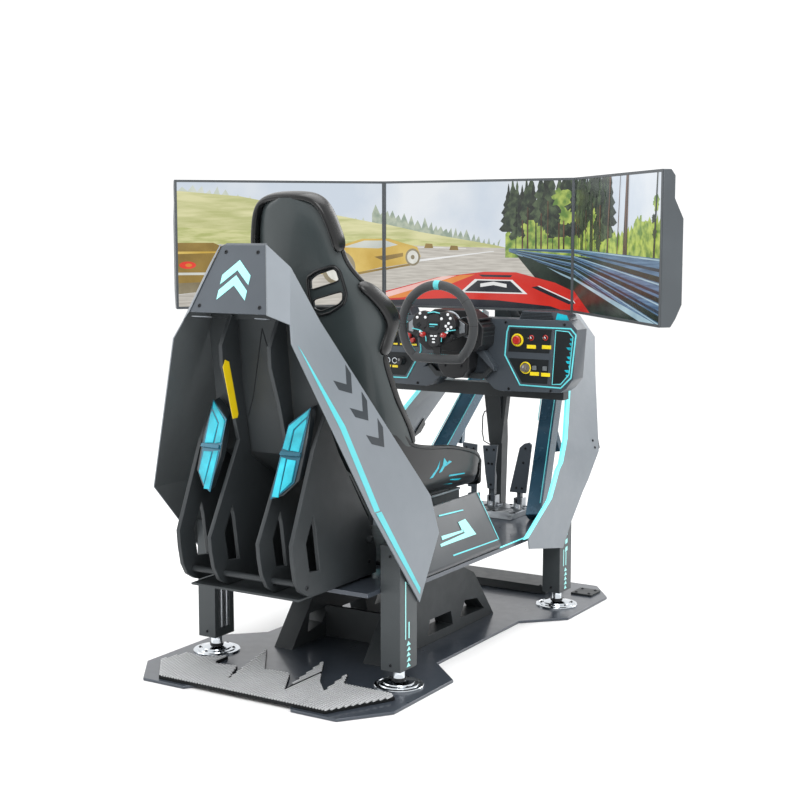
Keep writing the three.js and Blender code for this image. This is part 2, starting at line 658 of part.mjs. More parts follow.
// A rail behind all three screens, held by two struts from a beam across the front bars.
function monitorFrame() {
  const back = SCREEN.faceY + 62 + GAP;
  const centre = block(-330, 330, back, back + 30, 1140, 1190);
  const wingBack = 62 + GAP;
  const along = new THREE.Vector3(Math.cos(foldAngle), -Math.sin(foldAngle), 0);
  const out = new THREE.Vector3(Math.sin(foldAngle), Math.cos(foldAngle), 0);
  const corner = new THREE.Vector3(SCREEN.width / 2, SCREEN.faceY, 0);
  const spot = (a, b) => corner.clone().addScaledVector(along, a).addScaledVector(out, b);
  const inside = [spot(1, wingBack), spot(480, wingBack)];
  const outside = [spot(480, wingBack + 30), spot(0, wingBack + 30)];
  const plan = [...inside, ...outside].map((p) => [p.x, p.y]);
  const rail = plateXY([[320, back], [361, back], ...plan, [320, back + 30]], 1140, 1190);
  const beam = block(-150, 150, 840, 880, 925, 960);
  const strut = bar([[60, 862, 940], [60, back + 20, 1165]], 40, 40);
  const saddle = block(72, 140, 842, 878, 915, 930);
  return join(centre, rail, rail.mirror([1, 0, 0]), beam, strut, strut.mirror([1, 0, 0]), saddle,
    saddle.mirror([1, 0, 0]));
}
add('monitor_frame', cut(monitorFrame(), frontBar(), frontBar().mirror([1, 0, 0])), frameDark);

export default cabinet;
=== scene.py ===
import json
import math
import random

import bmesh
import bpy
from mathutils import Matrix, Vector
from mathutils.bvhtree import BVHTree


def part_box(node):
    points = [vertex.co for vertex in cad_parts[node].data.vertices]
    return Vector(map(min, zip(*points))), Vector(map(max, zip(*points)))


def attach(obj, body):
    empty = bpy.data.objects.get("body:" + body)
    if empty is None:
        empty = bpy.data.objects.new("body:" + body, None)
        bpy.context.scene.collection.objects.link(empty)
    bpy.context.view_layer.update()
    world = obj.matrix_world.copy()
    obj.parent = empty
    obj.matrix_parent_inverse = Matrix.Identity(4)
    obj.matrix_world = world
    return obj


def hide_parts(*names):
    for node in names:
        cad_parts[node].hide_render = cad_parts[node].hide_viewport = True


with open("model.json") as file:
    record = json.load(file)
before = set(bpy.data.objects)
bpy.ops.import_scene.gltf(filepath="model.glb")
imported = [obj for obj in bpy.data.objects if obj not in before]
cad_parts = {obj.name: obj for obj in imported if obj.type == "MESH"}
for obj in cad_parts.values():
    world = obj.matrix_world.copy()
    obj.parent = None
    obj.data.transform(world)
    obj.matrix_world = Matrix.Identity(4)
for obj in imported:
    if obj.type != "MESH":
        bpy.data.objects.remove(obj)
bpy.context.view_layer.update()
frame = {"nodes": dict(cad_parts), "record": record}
random.seed(7)
MM = 0.001

# ---- sizes, from the frame where it gives them ----
WHEEL_CENTRE = sum(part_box("wheel_rim"), Vector()) / 2
WHEEL_CENTRE.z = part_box("wheel_rim")[1].z - 0.147  # the rim is flat below, so its centre is above the box's
DASH_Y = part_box("dash_panel")[0].y
SCREEN_LOW, SCREEN_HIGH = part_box("monitor_centre")
TREAD_LOW, TREAD_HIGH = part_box("rear_tread")
RECLINE = math.radians(14)
SEAT_FOOT = Vector((0, -0.412, 0.470))


# ---- materials ----
WAVE_PERIOD = 0.314  # metres between the bands of a wave texture at scale 1
SCREEN_GLOW = 0.85


class Shader:
    """A material's node tree, with short calls for the nodes that this scene uses."""

    def __init__(self, name):
        self.material = bpy.data.materials.new(name)
        self.material.use_nodes = True
        self.nodes = self.material.node_tree.nodes
        self.bsdf = self.nodes["Principled BSDF"]
        self.coords = self.nodes.new("ShaderNodeTexCoord").outputs["Object"]

    def node(self, kind, settings=None, **inputs):
        made = self.nodes.new("ShaderNode" + kind)
        for key, value in (settings or {}).items():
            setattr(made, key, value)
        for key, value in inputs.items():
            self.put(value, made.inputs[key.replace("_", " ")])
        return made

    def put(self, value, socket):
        """Links another node's output to a socket, or sets a constant on it."""
        if isinstance(value, bpy.types.NodeSocket):
            self.material.node_tree.links.new(value, socket)
        else:
            socket.default_value = value

    def set(self, **inputs):
        for key, value in inputs.items():
            self.put(value, self.bsdf.inputs[key.replace("_", " ")])

    def stretched(self, scale):
        mapping = self.node("Mapping", Vector=self.coords, Scale=scale)
        return mapping.outputs["Vector"]

    def noise(self, scale, detail=4.0, stretch=None):
        vector = self.stretched(stretch) if stretch else self.coords
        made = self.node("TexNoise", Vector=vector, Scale=scale, Detail=detail)
        return made.outputs["Fac"]

    def bands(self, axis, pitch):
        settings = {"wave_type": "BANDS", "bands_direction": axis}
        made = self.node("TexWave", settings, Vector=self.coords, Scale=WAVE_PERIOD / pitch)
        return made.outputs["Fac"]

    def maths(self, operation, a, b):
        made = self.node("Math", {"operation": operation})
        self.put(a, made.inputs[0])
        self.put(b, made.inputs[1])
        return made.outputs[0]

    def ramp(self, fac, *stops):
        made = self.node("ValToRGB", Fac=fac)
        ramp = made.color_ramp
        while len(ramp.elements) < len(stops):
            ramp.elements.new(0.5)
        for element, (place, colour) in zip(ramp.elements, stops):
            element.position = place
            element.color = (*colour, 1.0) if len(colour) == 3 else colour
        return made.outputs["Color"]

    def mix(self, fac, a, b):
        made = self.node("Mix", {"data_type": "RGBA"})
        for index, value in ((0, fac), (6, a), (7, b)):  # the factor and the two colours
            self.put(value, made.inputs[index])
        return made.outputs[2]

    def bump(self, height, strength, distance):
        made = self.node("Bump", Height=height, Strength=strength, Distance=distance)
        self.set(Normal=made.outputs["Normal"])


def tint(colour, factor):
    return tuple(min(1.0, c * factor) for c in colour)


def surface(name, colour, roughness, metallic=0.0, mottle=0.15, grain=700.0, depth=0.0001, strength=0.2,
            wear=None, coat=0.0, pattern=None, sheen=0.0, shine=0.5):
    """Paint, metal, rubber or cloth: mottled colour, uneven gloss, fine grain and rubbed edges."""
    s = Shader(name)
    s.set(Metallic=metallic, Coat_Weight=coat, Coat_Roughness=0.08, Sheen_Weight=sheen,
          Specular_IOR_Level=shine)
    clouds = s.noise(7.0)
    shade = s.ramp(clouds, (0.3, tint(colour, 1 - mottle)), (0.7, tint(colour, 1 + mottle)))
    if wear:
        rounded = s.node("Bevel", {"samples": 4}, Radius=0.0025).outputs["Normal"]
        flat = s.node("NewGeometry").outputs["Normal"]
        turn = s.node("VectorMath", {"operation": "DOT_PRODUCT"})
        s.put(rounded, turn.inputs[0])
        s.put(flat, turn.inputs[1])
        rubbed = s.ramp(turn.outputs["Value"], (0.80, (1, 1, 1)), (0.97, (0, 0, 0)))
        patchy = s.ramp(s.noise(90.0, 6.0), (0.45, (0, 0, 0)), (0.60, (1, 1, 1)))
        shade = s.mix(s.maths("MULTIPLY", rubbed, patchy), shade, (*wear, 1.0))
    gloss = s.ramp(s.noise(35.0, 6.0), (0.25, (roughness * 0.9,) * 3),
                   (0.75, (min(1, roughness * 1.12),) * 3))
    s.set(Base_Color=shade, Roughness=gloss)
    height = pattern(s) if pattern else s.noise(grain, 3.0)
    s.bump(height, strength, depth)
    return s.material


def weave(s):
    return s.maths("MULTIPLY", s.bands("X", 0.0022), s.bands("Z", 0.0022))


def leather(s):
    cells = s.node("TexVoronoi", {"feature": "SMOOTH_F1"}, Vector=s.coords, Scale=520.0).outputs["Distance"]
    return s.maths("ADD", cells, s.noise(90.0, 5.0))


def brushed(s):
    return s.noise(60.0, 8.0, stretch=(1.0, 1.0, 60.0))


def glow(name, colour, strength, mottle=0.25):
    """Glowing plastic, for lamps and for painted glow and highlights: uneven brightness behind a glossy face.
    """
    s = Shader(name)
    shade = s.ramp(s.noise(18.0), (0.3, tint(colour, 1 - mottle)), (0.7, tint(colour, 1 + mottle)))
    s.set(Base_Color=shade, Emission_Color=shade, Emission_Strength=strength, Roughness=0.25)
    s.bump(s.noise(400.0), 0.1, 0.0001)
    return s.material


def picture(name, dark, light, scale, stretch=(1, 1, 1)):
    """One patch of the picture on a screen."""
    s = Shader(name)
    shade = s.ramp(s.noise(scale, 8.0, stretch=stretch), (0.38, dark), (0.62, light))
    s.set(Base_Color=(0.01, 0.01, 0.01, 1), Emission_Color=shade, Emission_Strength=SCREEN_GLOW,
          Roughness=0.2)
    return s.material


PANEL = surface("panel_grey", (0.170, 0.192, 0.214), 0.42, 0.1, 0.04, 1500, wear=(0.34, 0.36, 0.38))
# Painted shade: a darker sheet laid on the wing panels' inner faces, which are the same grey metal as the
# outside.
PAINTED_SHADE = surface("panel_lining", (0.082, 0.092, 0.096), 0.5, 0.1, 0.06, 1500)
LEG = surface("leg_dark", (0.048, 0.056, 0.060), 0.42, 0.25, 0.08, 1300, wear=(0.18, 0.19, 0.20))
PLATE = surface("plate_grey", (0.056, 0.068, 0.082), 0.42, 0.2, 0.06, 1500, wear=(0.22, 0.24, 0.26))
FRAME = surface("frame_dark", (0.030, 0.035, 0.038), 0.45, 0.2, 0.12, 1300, wear=(0.12, 0.13, 0.14),
                shine=0.4)
SHELL_PANEL = surface("shell_dark", (0.036, 0.042, 0.045), 0.5, 0.1, 0.12, 1300, shine=0.35)
FLOOR_BLUE = surface("floor_blue", (0.046, 0.056, 0.072), 0.30, 0.2, 0.04, 900, coat=0.25,
                     wear=(0.20, 0.23, 0.26))
SILL = surface("sill_dark", (0.034, 0.040, 0.046), 0.34, 0.2, 0.10, 1200, coat=0.15, wear=(0.14, 0.15, 0.16))
BAR_BLUE = surface("bar_blue", (0.020, 0.070, 0.115), 0.26, 0.3, 0.25, 900, coat=0.3, wear=(0.15, 0.30, 0.38))
TREAD = surface("tread_black", (0.006, 0.007, 0.008), 0.6, 0.0, 0.2, 600, shine=0.2)
# Painted highlight: the ribs are light grey against the black sheet, standing in for the light that catches
# their tops.
TREAD_RIB_HIGHLIGHT = surface("tread_rib", (0.50, 0.51, 0.52), 0.4, 0.0, 0.06, 600)
CHROME = surface("foot_chrome", (0.62, 0.66, 0.70), 0.12, 1.0, 0.04, pattern=brushed, strength=0.05)
STEEL = surface("bright_steel", (0.26, 0.28, 0.30), 0.3, 1.0, 0.1, pattern=brushed, strength=0.15)
ALUMINIUM = surface("aluminium", (0.66, 0.68, 0.70), 0.3, 1.0, 0.06, pattern=brushed, strength=0.2)
SHELL = surface("seat_shell_black", (0.007, 0.008, 0.009), 0.30, 0.0, 0.2, 1200, coat=0.1, shine=0.35)
SHELL_SATIN = surface("seat_shell_satin", (0.034, 0.044, 0.046), 0.38, 0.0, 0.08, 1500, coat=0.12, shine=0.4)
CLOTH = surface("seat_weave", (0.016, 0.018, 0.020), 0.85, 0.0, 0.2, pattern=weave, depth=0.0005,
                strength=0.6, sheen=0.2, shine=0.25)
LEATHER = surface("seat_leather", (0.010, 0.011, 0.012), 0.42, 0.0, 0.2, pattern=leather, depth=0.0003,
                  strength=0.3, shine=0.35)
GLOSS_LEATHER = surface("trim_leather", (0.004, 0.0045, 0.005), 0.28, 0.0, 0.2, pattern=leather, depth=0.0002,
                        strength=0.15, coat=0.15, shine=0.35)
SUEDE = surface("rim_suede", (0.030, 0.033, 0.036), 0.7, 0.0, 0.15, 2500, 0.0003, 0.4, sheen=0.25)
THREAD = surface("thread_aqua", (0.05, 0.36, 0.40), 0.7, 0.0, 0.2, 3000)
THREAD_GREY = surface("thread_grey", (0.15, 0.16, 0.17), 0.7, 0.0, 0.15, 3000)
PLASTIC = surface("plastic_black", (0.014, 0.015, 0.017), 0.42, 0.0, 0.15, 2200, 0.0002, 0.3, shine=0.4)
PLASTIC_GREY = surface("casing_grey", (0.060, 0.070, 0.078), 0.45, 0.1, 0.08, 2200, 0.0002, 0.3)
BEZEL = surface("bezel_grey", (0.060, 0.068, 0.075), 0.4, 0.1, 0.06, 2200, 0.0001, 0.2)
RECESS = surface("recess_dark", (0.010, 0.013, 0.015), 0.5, 0.1, 0.25, 1500, shine=0.3)
RED = surface("button_red", (0.42, 0.020, 0.016), 0.3, 0.0, 0.2, coat=0.5)
KNOB_GREY = surface("knob_grey", (0.16, 0.14, 0.125), 0.4, 0.1, 0.15, coat=0.2)
KEY_GREY = surface("key_grey", (0.14, 0.155, 0.165), 0.4, 0.0, 0.08, coat=0.2)
WHITE = surface("button_white", (0.78, 0.80, 0.82), 0.3, 0.0, 0.04, coat=0.4)
YELLOW = surface("marker_yellow", (0.80, 0.58, 0.004), 0.4, 0.0, 0.06, coat=0.3)
AQUA = surface("graphic_aqua", (0.090, 0.500, 0.540), 0.4, 0.0, 0.06, 1500)
AQUA_PALE = surface("graphic_aqua_pale", (0.34, 0.80, 0.78), 0.4, 0.0, 0.05, 1500)
INK = surface("graphic_ink", (0.016, 0.022, 0.028), 0.5, 0.0, 0.1, 1500)
SCREW = surface("screw_black", (0.03, 0.032, 0.035), 0.35, 0.9, 0.1)
# The tail lamps' glow, also given to dashes on the seat pan, which holds no lamp: painted glow there.
LAMP_AND_PAINTED_GLOW = glow("lamp_cyan", (0.012, 0.340, 0.430), 0.22, 0.35)
LAMP_BAND = surface("lamp_band", (0.010, 0.110, 0.170), 0.25, 0.3, 0.3, coat=0.4)
LAMP_HOUSING = surface("lamp_housing", (0.016, 0.022, 0.026), 0.35, 0.2, 0.2, coat=0.3)
# The LED_AND_EDGE_HIGHLIGHT strips' glow, also given to rods along the deck's edges that are painted
# highlights.
LED_AND_EDGE_HIGHLIGHT = glow("strip_led", (0.14, 0.70, 0.74), 0.55, 0.10)
# Glowing lines: painted edge highlights on the sills and the front bars, and the glowing outlines and lines
# on the dash and the wheel hub.
GLOW_AND_EDGE_HIGHLIGHT = glow("edge_glow", (0.10, 0.50, 0.54), 0.30, 0.10)
# Yellow labels and collars: the yellow is their print, the glow is painted light, as they hold no lamp.
LABEL_PAINTED_GLOW = glow("label_yellow", (0.72, 0.56, 0.02), 0.20, 0.08)


# ---- mesh helpers ----
def hand(side):
    return "right" if side > 0 else "left"


def round_angles(count):
    """Evenly spaced angles, once round."""
    return [2 * math.pi * k / count for k in range(count)]


def place(mesh, name, material, body, nodes=(), bevel=0.0, angle=35, alone=False):
    """Takes a mesh as a piece. Trim of one section, body and finish is kept for join_trim to join."""
    if not nodes and not alone:
        TRIM.setdefault((SECTION[0], body, material.name, bevel, angle), []).append(mesh)
        return None
    obj = bpy.data.objects.new(name, mesh)
    bpy.context.scene.collection.objects.link(obj)
    mesh.materials.clear()
    mesh.materials.append(material)
    mesh.polygons.foreach_set("use_smooth", [True] * len(mesh.polygons))
    mesh.set_sharp_from_angle(angle=math.radians(angle))
    if bevel:
        cut = obj.modifiers.new("edges", "BEVEL")
        cut.width = bevel
        cut.segments = 2
        cut.limit_method = "ANGLE"
        cut.angle_limit = math.radians(30)
    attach(obj, body)
    if nodes:
        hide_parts(*nodes)
    return obj


TRIM = {}
SECTION = ["trim"]


def section(name):
    """Trim made from here on is named for this part of the object."""
    SECTION[0] = name


def join_trim():
    """Joins the collected trim, one piece for each section, body, finish and edge width."""
    for (label, body, finish, bevel, angle), meshes in TRIM.items():
        work = bmesh.new()
        for mesh in meshes:
            work.from_mesh(mesh)
            bpy.data.meshes.remove(mesh)
        name = f"{label}_{finish}" + (f"_{body}" if body != "platform" else "")
        joined = bpy.data.meshes.new(name)
        work.to_mesh(joined)
        work.free()
        name += f"_{int(bevel * 1e5)}" if bevel else ""
        place(joined, name, bpy.data.materials[finish], body, bevel=bevel, angle=angle, alone=True)


def mesh_from(name, verts, faces):
    mesh = bpy.data.meshes.new(name)
    mesh.from_pydata([tuple(v) for v in verts], [], faces)
    work = bmesh.new()
    work.from_mesh(mesh)
    bmesh.ops.remove_doubles(work, verts=work.verts, dist=1e-6)
    bmesh.ops.recalc_face_normals(work, faces=work.faces)
    work.to_mesh(mesh)
    work.free()
    return mesh


def made(name, verts, faces, material, body="platform", **options):
    return place(mesh_from(name, verts, faces), name, material, body, **options)


def body_of(node):
    for body, nodes in frame["record"]["behaviour"]["bodies"].items():
        if node in nodes:
            return body
    raise KeyError(node)


def refined(node, material, bevel=0.0015):
    """A CAD node's own shape, with its edges rounded over."""
    source = frame["nodes"][node].data
    faces = [tuple(p.vertices) for p in source.polygons]
    mesh = mesh_from(node + "_finish", [v.co for v in source.vertices], faces)
    work = bmesh.new()
    work.from_mesh(mesh)
    bmesh.ops.dissolve_limit(work, angle_limit=0.02, verts=work.verts, edges=work.edges)
    work.to_mesh(mesh)
    work.free()
    return place(mesh, node + "_finish", material, body_of(node), nodes=[node], bevel=bevel)


def prism(outline, push):
    """Points and faces of a flat outline in space, thickened by a vector."""
    points = [Vector(p) for p in outline]
    count = len(points)
    faces = [tuple(range(count)), tuple(range(2 * count - 1, count - 1, -1))]
    faces += [(i, (i + 1) % count, (i + 1) % count + count, i + count) for i in range(count)]
    return points + [p + Vector(push) for p in points], faces


def slab(name, outline, push, material, body="platform", bevel=0.0, nodes=()):
    """A prism as a piece or as trim."""
    return made(name, *prism(outline, push), material, body, bevel=bevel, nodes=nodes)


def turned(name, profile, centre, axis, material, body="platform", steps=48, nodes=()):
    """A lathe shape: (radius, distance along the axis) pairs from one end to the other."""
    axis = Vector(axis).normalized()
    side = axis.orthogonal().normalized()
    other = axis.cross(side)
    verts, faces = [], []
    for r, h in profile:
        for a in round_angles(steps):
            verts.append(Vector(centre) + axis * h + (side * math.cos(a) + other * math.sin(a)) * r)
    for i in range(len(profile) - 1):
        for k in range(steps):
            n = (k + 1) % steps
            faces.append((i * steps + k, i * steps + n, (i + 1) * steps + n, (i + 1) * steps + k))
    faces.append(tuple(range(steps)))
    faces.append(tuple(range(len(verts) - 1, len(verts) - steps - 1, -1)))
    return made(name, verts, faces, material, body, nodes=nodes)


def rod(name, points, radius, material, body="platform", closed=False):
    """A round tube along straight runs."""
    curve = bpy.data.curves.new(name, "CURVE")
    curve.dimensions = "3D"
    curve.bevel_depth = radius
    curve.bevel_resolution = 3
    curve.use_fill_caps = True
    spline = curve.splines.new("POLY")
    spline.points.add(len(points) - 1)
    for point, place_at in zip(spline.points, points):
        point.co = (*place_at, 1.0)
    spline.use_cyclic_u = closed
    curve.materials.append(material)
    obj = bpy.data.objects.new(name, curve)
    bpy.context.scene.collection.objects.link(obj)
    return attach(obj, body)


def grid(rows, closed=False):
    """Faces of a grid of points given row by row."""
    width = len(rows[0])
    verts = [p for row in rows for p in row]
    faces = []
    last = width if closed else width - 1
    for i in range(len(rows) - 1):
        for k in range(last):
            n = (k + 1) % width
            faces.append((i * width + k, i * width + n, (i + 1) * width + n, (i + 1) * width + k))
    return verts, faces


def blend_list(table, x):
    """A value read from a short table of (position, value), on a smooth curve through its points."""
    if x <= table[0][0]:
        return table[0][1]
    if x >= table[-1][0]:
        return table[-1][1]
    slopes = [(b[1] - a[1]) / (b[0] - a[0]) for a, b in zip(table, table[1:])]
    tangents = [slopes[0]] + [
        0.0 if a * b <= 0 else 2 * a * b / (a + b) for a, b in zip(slopes, slopes[1:])] + [slopes[-1]]
    for i, (a, b) in enumerate(zip(table, table[1:])):
        if x <= b[0]:
            span = b[0] - a[0]
            t = (x - a[0]) / span
            return (
                a[1] * (1 + 2 * t) * (1 - t) ** 2 + tangents[i] * span * t * (1 - t) ** 2
                + b[1] * t * t * (3 - 2 * t) - tangents[i + 1] * span * t * t * (1 - t))
    return table[-1][1]


def mirrored(points):
    return [Vector((-p[0], p[1], p[2])) for p in points][::-1]


def screw(name, spot, out, body, radius=0.005):
    """A button-head screw with a socket, standing on a face."""
    socket = radius * 0.45
    profile = [
        (radius, -0.0005), (radius, 0.0008), (radius * 0.8, 0.0022), (socket, 0.0027),
        (socket, 0.0008), (0.0002, 0.0008),
    ]
    return turned(name, profile, spot, out, SCREW, body, steps=20)


# ---- camera, light and floor ----
CAMERA_SPOT, CAMERA_LENS = (2.3156, -3.8222, 1.2522), 64.59
CAMERA_AZIMUTH, CAMERA_ELEVATION = math.radians(31.646), math.radians(6.870)
LIGHT_AIM = Vector((0, 0, 0.7))
WORLD_STRENGTH = 1.12
FLOOR_HALF, FLOOR_Z = 60, -0.0006
LIGHTS = (  # name, place, size, power
    ("key", (2.6, -3.4, 4.2), 3.0, 140), ("fill", (-3.6, -2.2, 2.6), 3.0, 50),
    ("top", (0.0, 0.5, 4.5), 3.5, 80), ("rim", (1.5, 4.2, 3.0), 2.5, 80),
)


def studio():
    """The camera that took the photograph, four area lights, a white world and a pale floor."""
    level = math.cos(CAMERA_ELEVATION)
    right = Vector((math.cos(CAMERA_AZIMUTH), math.sin(CAMERA_AZIMUTH), 0))
    back = Vector((right.y * level, -right.x * level, math.sin(CAMERA_ELEVATION)))
    up = back.cross(right)
    data = bpy.data.cameras.new("camera")
    data.lens = CAMERA_LENS
    data.clip_end = 50
    camera = bpy.data.objects.new("camera", data)
    turned_to = Matrix((right, up, back)).transposed().to_4x4()
    camera.matrix_world = Matrix.Translation(CAMERA_SPOT) @ turned_to
    bpy.context.scene.collection.objects.link(camera)
    bpy.context.scene.camera = camera
    for name, spot, size, power in LIGHTS:
        light = bpy.data.lights.new(name, "AREA")
        light.energy = power
        light.size = size
        lamp = bpy.data.objects.new(name, light)
        lamp.location = spot
        lamp.rotation_euler = (LIGHT_AIM - Vector(spot)).to_track_quat("-Z", "Y").to_euler()
        bpy.context.scene.collection.objects.link(lamp)
    world = bpy.data.worlds.new("studio")
    world.use_nodes = True
    background = world.node_tree.nodes["Background"]
    background.inputs["Color"].default_value = (1, 1, 1, 1)
    background.inputs["Strength"].default_value = WORLD_STRENGTH
    bpy.context.scene.world = world
    bpy.context.scene.view_settings.view_transform = "Standard"
    corners = ((-1, -1), (1, -1), (1, 1), (-1, 1))
    mesh = bpy.data.meshes.new("floor")
    mesh.from_pydata([(x * FLOOR_HALF, y * FLOOR_HALF, FLOOR_Z) for x, y in corners], [], [(0, 1, 2, 3)])
    floor = bpy.data.objects.new("floor", mesh)
    bpy.context.scene.collection.objects.link(floor)
    s = Shader("floor_pale")
    s.set(Base_Color=s.ramp(s.noise(2.0), (0.3, (0.915,) * 3), (0.7, (0.93,) * 3)), Roughness=0.6)
    mesh.materials.append(s.material)


studio()

# ---- the plain metal parts ----
for node in ("base_plate", "deck_pan"):
    refined(node, FLOOR_BLUE)
for side in ("right", "left"):
    refined("sill_" + side, SILL, 0.003)
    for node in ("wing_panel_", "front_blade_"):
        refined(node + side, PANEL, 0.001)
    for node in ("leg_housing_rear_", "leg_housing_front_"):
        refined(node + side, LEG, 0.001)
    for node in ("outer_fin_", "inner_fin_"):
        refined(node + side, FRAME, 0.0015)
    refined("front_bar_" + side, BAR_BLUE, 0.003)
    refined("light_strip_" + side, LED_AND_EDGE_HIGHLIGHT, 0.0008)
    refined("tail_lamp_" + side, LAMP_HOUSING, 0.003)
    refined("shift_paddle_" + side, STEEL, 0.001)
refined("rear_shell", SHELL_PANEL, 0.0015)
refined("dash_panel", PLATE, 0.006)
for node in ("pedestal", "front_rail", "seat_stand", "dash_frame", "monitor_frame"):
    refined(node, FRAME, 0.002)
for node in ("guide_post", "pivot_cross", "pedal_tray"):
    refined(node, STEEL, 0.001)


# ---- ribbed tread ----
RIB_HEIGHT, RIB_PITCH = 0.004, 0.0095
RIB_FOOT_HALF, RIB_TOP_HALF = 0.0028, 0.0020  # half widths of a rib's section
RIB_END, RIB_SHORTEST = 0.004, 0.012  # gap to the sheet's edge, and the shortest run that gets a rib


def tread():
    """A base sheet with raised ribs along Y, each cut to the outline of the CAD sheet."""
    source = frame["nodes"]["rear_tread"].data
    tree = BVHTree.FromPolygons([v.co for v in source.vertices], [p.vertices[:] for p in source.polygons])
    base_top = TREAD_HIGH.z - RIB_HEIGHT
    faces = [tuple(p.vertices) for p in source.polygons]
    verts = [Vector((v.co.x, v.co.y, min(v.co.z, base_top))) for v in source.vertices]
    made("tread_sheet", verts, faces, TREAD, "base", nodes=["rear_tread"])
    middle = (TREAD_LOW.z + TREAD_HIGH.z) / 2
    verts, faces = [], []
    x = TREAD_LOW.x + 0.006
    while x < TREAD_HIGH.x - 0.003:
        spots = []
        y = TREAD_LOW.y - 0.01
        while True:
            hit = tree.ray_cast(Vector((x, y, middle)), Vector((0, 1, 0)))[0]
            if hit is None:
                break
            spots.append(hit.y)
            y = hit.y + 0.0005
        for y0, y1 in zip(spots[::2], spots[1::2]):
            if y1 - y0 < RIB_SHORTEST:
                continue
            start = len(verts)
            for end in (y0 + RIB_END, y1 - RIB_END):
                verts += [
                    (x - RIB_FOOT_HALF, end, base_top - 0.0005), (x - RIB_TOP_HALF, end, TREAD_HIGH.z),
                    (x + RIB_TOP_HALF, end, TREAD_HIGH.z), (x + RIB_FOOT_HALF, end, base_top - 0.0005),
                ]
            faces += [tuple(range(start, start + 4)), tuple(range(start + 7, start + 3, -1))]
            for k in range(4):
                n = (k + 1) % 4
                faces.append((start + k, start + 4 + k, start + 4 + n, start + n))
        x += RIB_PITCH
    # The ribs take the light grey finish: painted highlight on their tops.
    made("tread_ribs", verts, faces, TREAD_RIB_HIGHLIGHT, "base")


section("tread")
tread()


# ---- actuator feet ----
def actuator_foot(node):
    """A stepped chrome disc with six bolts, its rod and a seal."""
    low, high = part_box(node)
    centre = (low + high) / 2
    z = low.z
    centre = Vector((centre.x, centre.y, 0))
    profile = [
        (0.069, z), (0.069, z + 0.0035), (0.0675, z + 0.005), (0.060, z + 0.006), (0.0585, z + 0.0048),
        (0.056, z + 0.0048), (0.0545, z + 0.008), (0.044, z + 0.009), (0.0425, z + 0.012),
        (0.034, z + 0.0138), (0.026, z + 0.0165), (0.018, z + 0.0175), (0.0165, z + 0.020),
        (0.0165, z + 0.052), (0.0150, z + 0.053), (0.0150, z + 0.062), (0.0165, z + 0.063),
        (0.0165, high.z - 0.002), (0.0145, high.z),
    ]
    turned(node + "_finish", profile, centre, (0, 0, 1), CHROME, "base", steps=72, nodes=[node])
    collar = [(0.0172, z + 0.0176), (0.0200, z + 0.0178), (0.0202, z + 0.0225), (0.0172, z + 0.0230)]
    turned(node + "_seal", collar, centre, (0, 0, 1), PLASTIC, "base", steps=48)
    for k in range(6):
        a = math.pi * (k + 0.5) / 3
        spot = centre + Vector((0.0495 * math.cos(a), 0.0495 * math.sin(a), z + 0.0085))
        screw(f"{node}_bolt_{k}", spot, (0, 0, 1), "base", 0.0042)


section("feet")
for end in ("rear", "front"):
    for side in ("right", "left"):
        actuator_foot(f"actuator_foot_{end}_{side}")


# ---- body panels: plate, graphics, screws ----
def wing_x(z):
    return min(0.574 - 0.395 * z, 0.3434 + 0.045 * z)


def blade_x(z):
    return min(0.5665 - 0.405 * z, 0.3434 + 0.045 * z)


def sticker(name, outline, x_of, material, lift=0.0006):
    """A thin film on a side panel, given in (y, z) on the right and repeated on the left."""
    for side in (1, -1):
        points = [(side * (x_of(z) + lift), y, z) for y, z in outline]
        slab(f"{name}_{hand(side)}", points, (-side * 0.0005, 0, 0), material)


def wing_graphics():
    """Aqua edge stripes and three dark arrows on each wing panel."""
    sticker("wing_stripe_upper", [
        (-0.877, 0.955), (-0.862, 0.925), (-0.788, 0.745), (-0.757, 0.5275), (-0.782, 0.5275),
        (-0.812, 0.739), (-0.867, 0.925),
    ], wing_x, AQUA)
    sticker("wing_stripe_lower", [
        (-0.778, 0.5245), (-0.752, 0.5245), (-0.664, 0.422), (-0.537, 0.275), (-0.538, 0.258),
        (-0.668, 0.400),
    ], wing_x, AQUA)
    down, across = (0.412, -0.911), (0.911, 0.412)
    arrow = [(0, -0.042), (0.027, -0.042), (0.062, 0), (0.027, 0.042), (0, 0.042), (0.035, 0)]
    for k in range(3):
        y, z = -0.736 + 0.0330 * k, 0.876 - 0.073 * k
        outline = [(y + down[0] * a + across[0] * c, z + down[1] * a + across[1] * c) for a, c in arrow]
        sticker(f"wing_arrow_{k}", outline, wing_x, INK)


def painted_shade_sheet(node, side):
    """A darker sheet on the inner faces of a folded body panel: painted shade, as the panel is the same metal
    inside.
    """
    source = frame["nodes"][node].data
    verts, faces = [], []
    for face in source.polygons:
        if face.normal.x * side < -0.5:
            start = len(verts)
            verts += [tuple(source.vertices[i].co + face.normal * 0.0006) for i in face.vertices]
            faces.append(tuple(range(start, len(verts))))
    mesh = bpy.data.meshes.new(node + "_lining")
    mesh.from_pydata(verts, [], faces)
    place(mesh, node + "_lining", PAINTED_SHADE, "platform")


painted_shade_sheet("wing_panel_right", 1)
painted_shade_sheet("wing_panel_left", -1)
section("wing")
wing_graphics()


def plate_point(x, v, lift=0.0):
    """A point on the number plate: across, up its slope from the lower edge, and out from it."""
    low, high = Vector((0, -0.911, 1.032)), Vector((0, -0.840, 1.205))
    up = (high - low).normalized()
    out = Vector((0, -up.z, up.y))
    return low + up * v + out * lift + Vector((x, 0, 0))


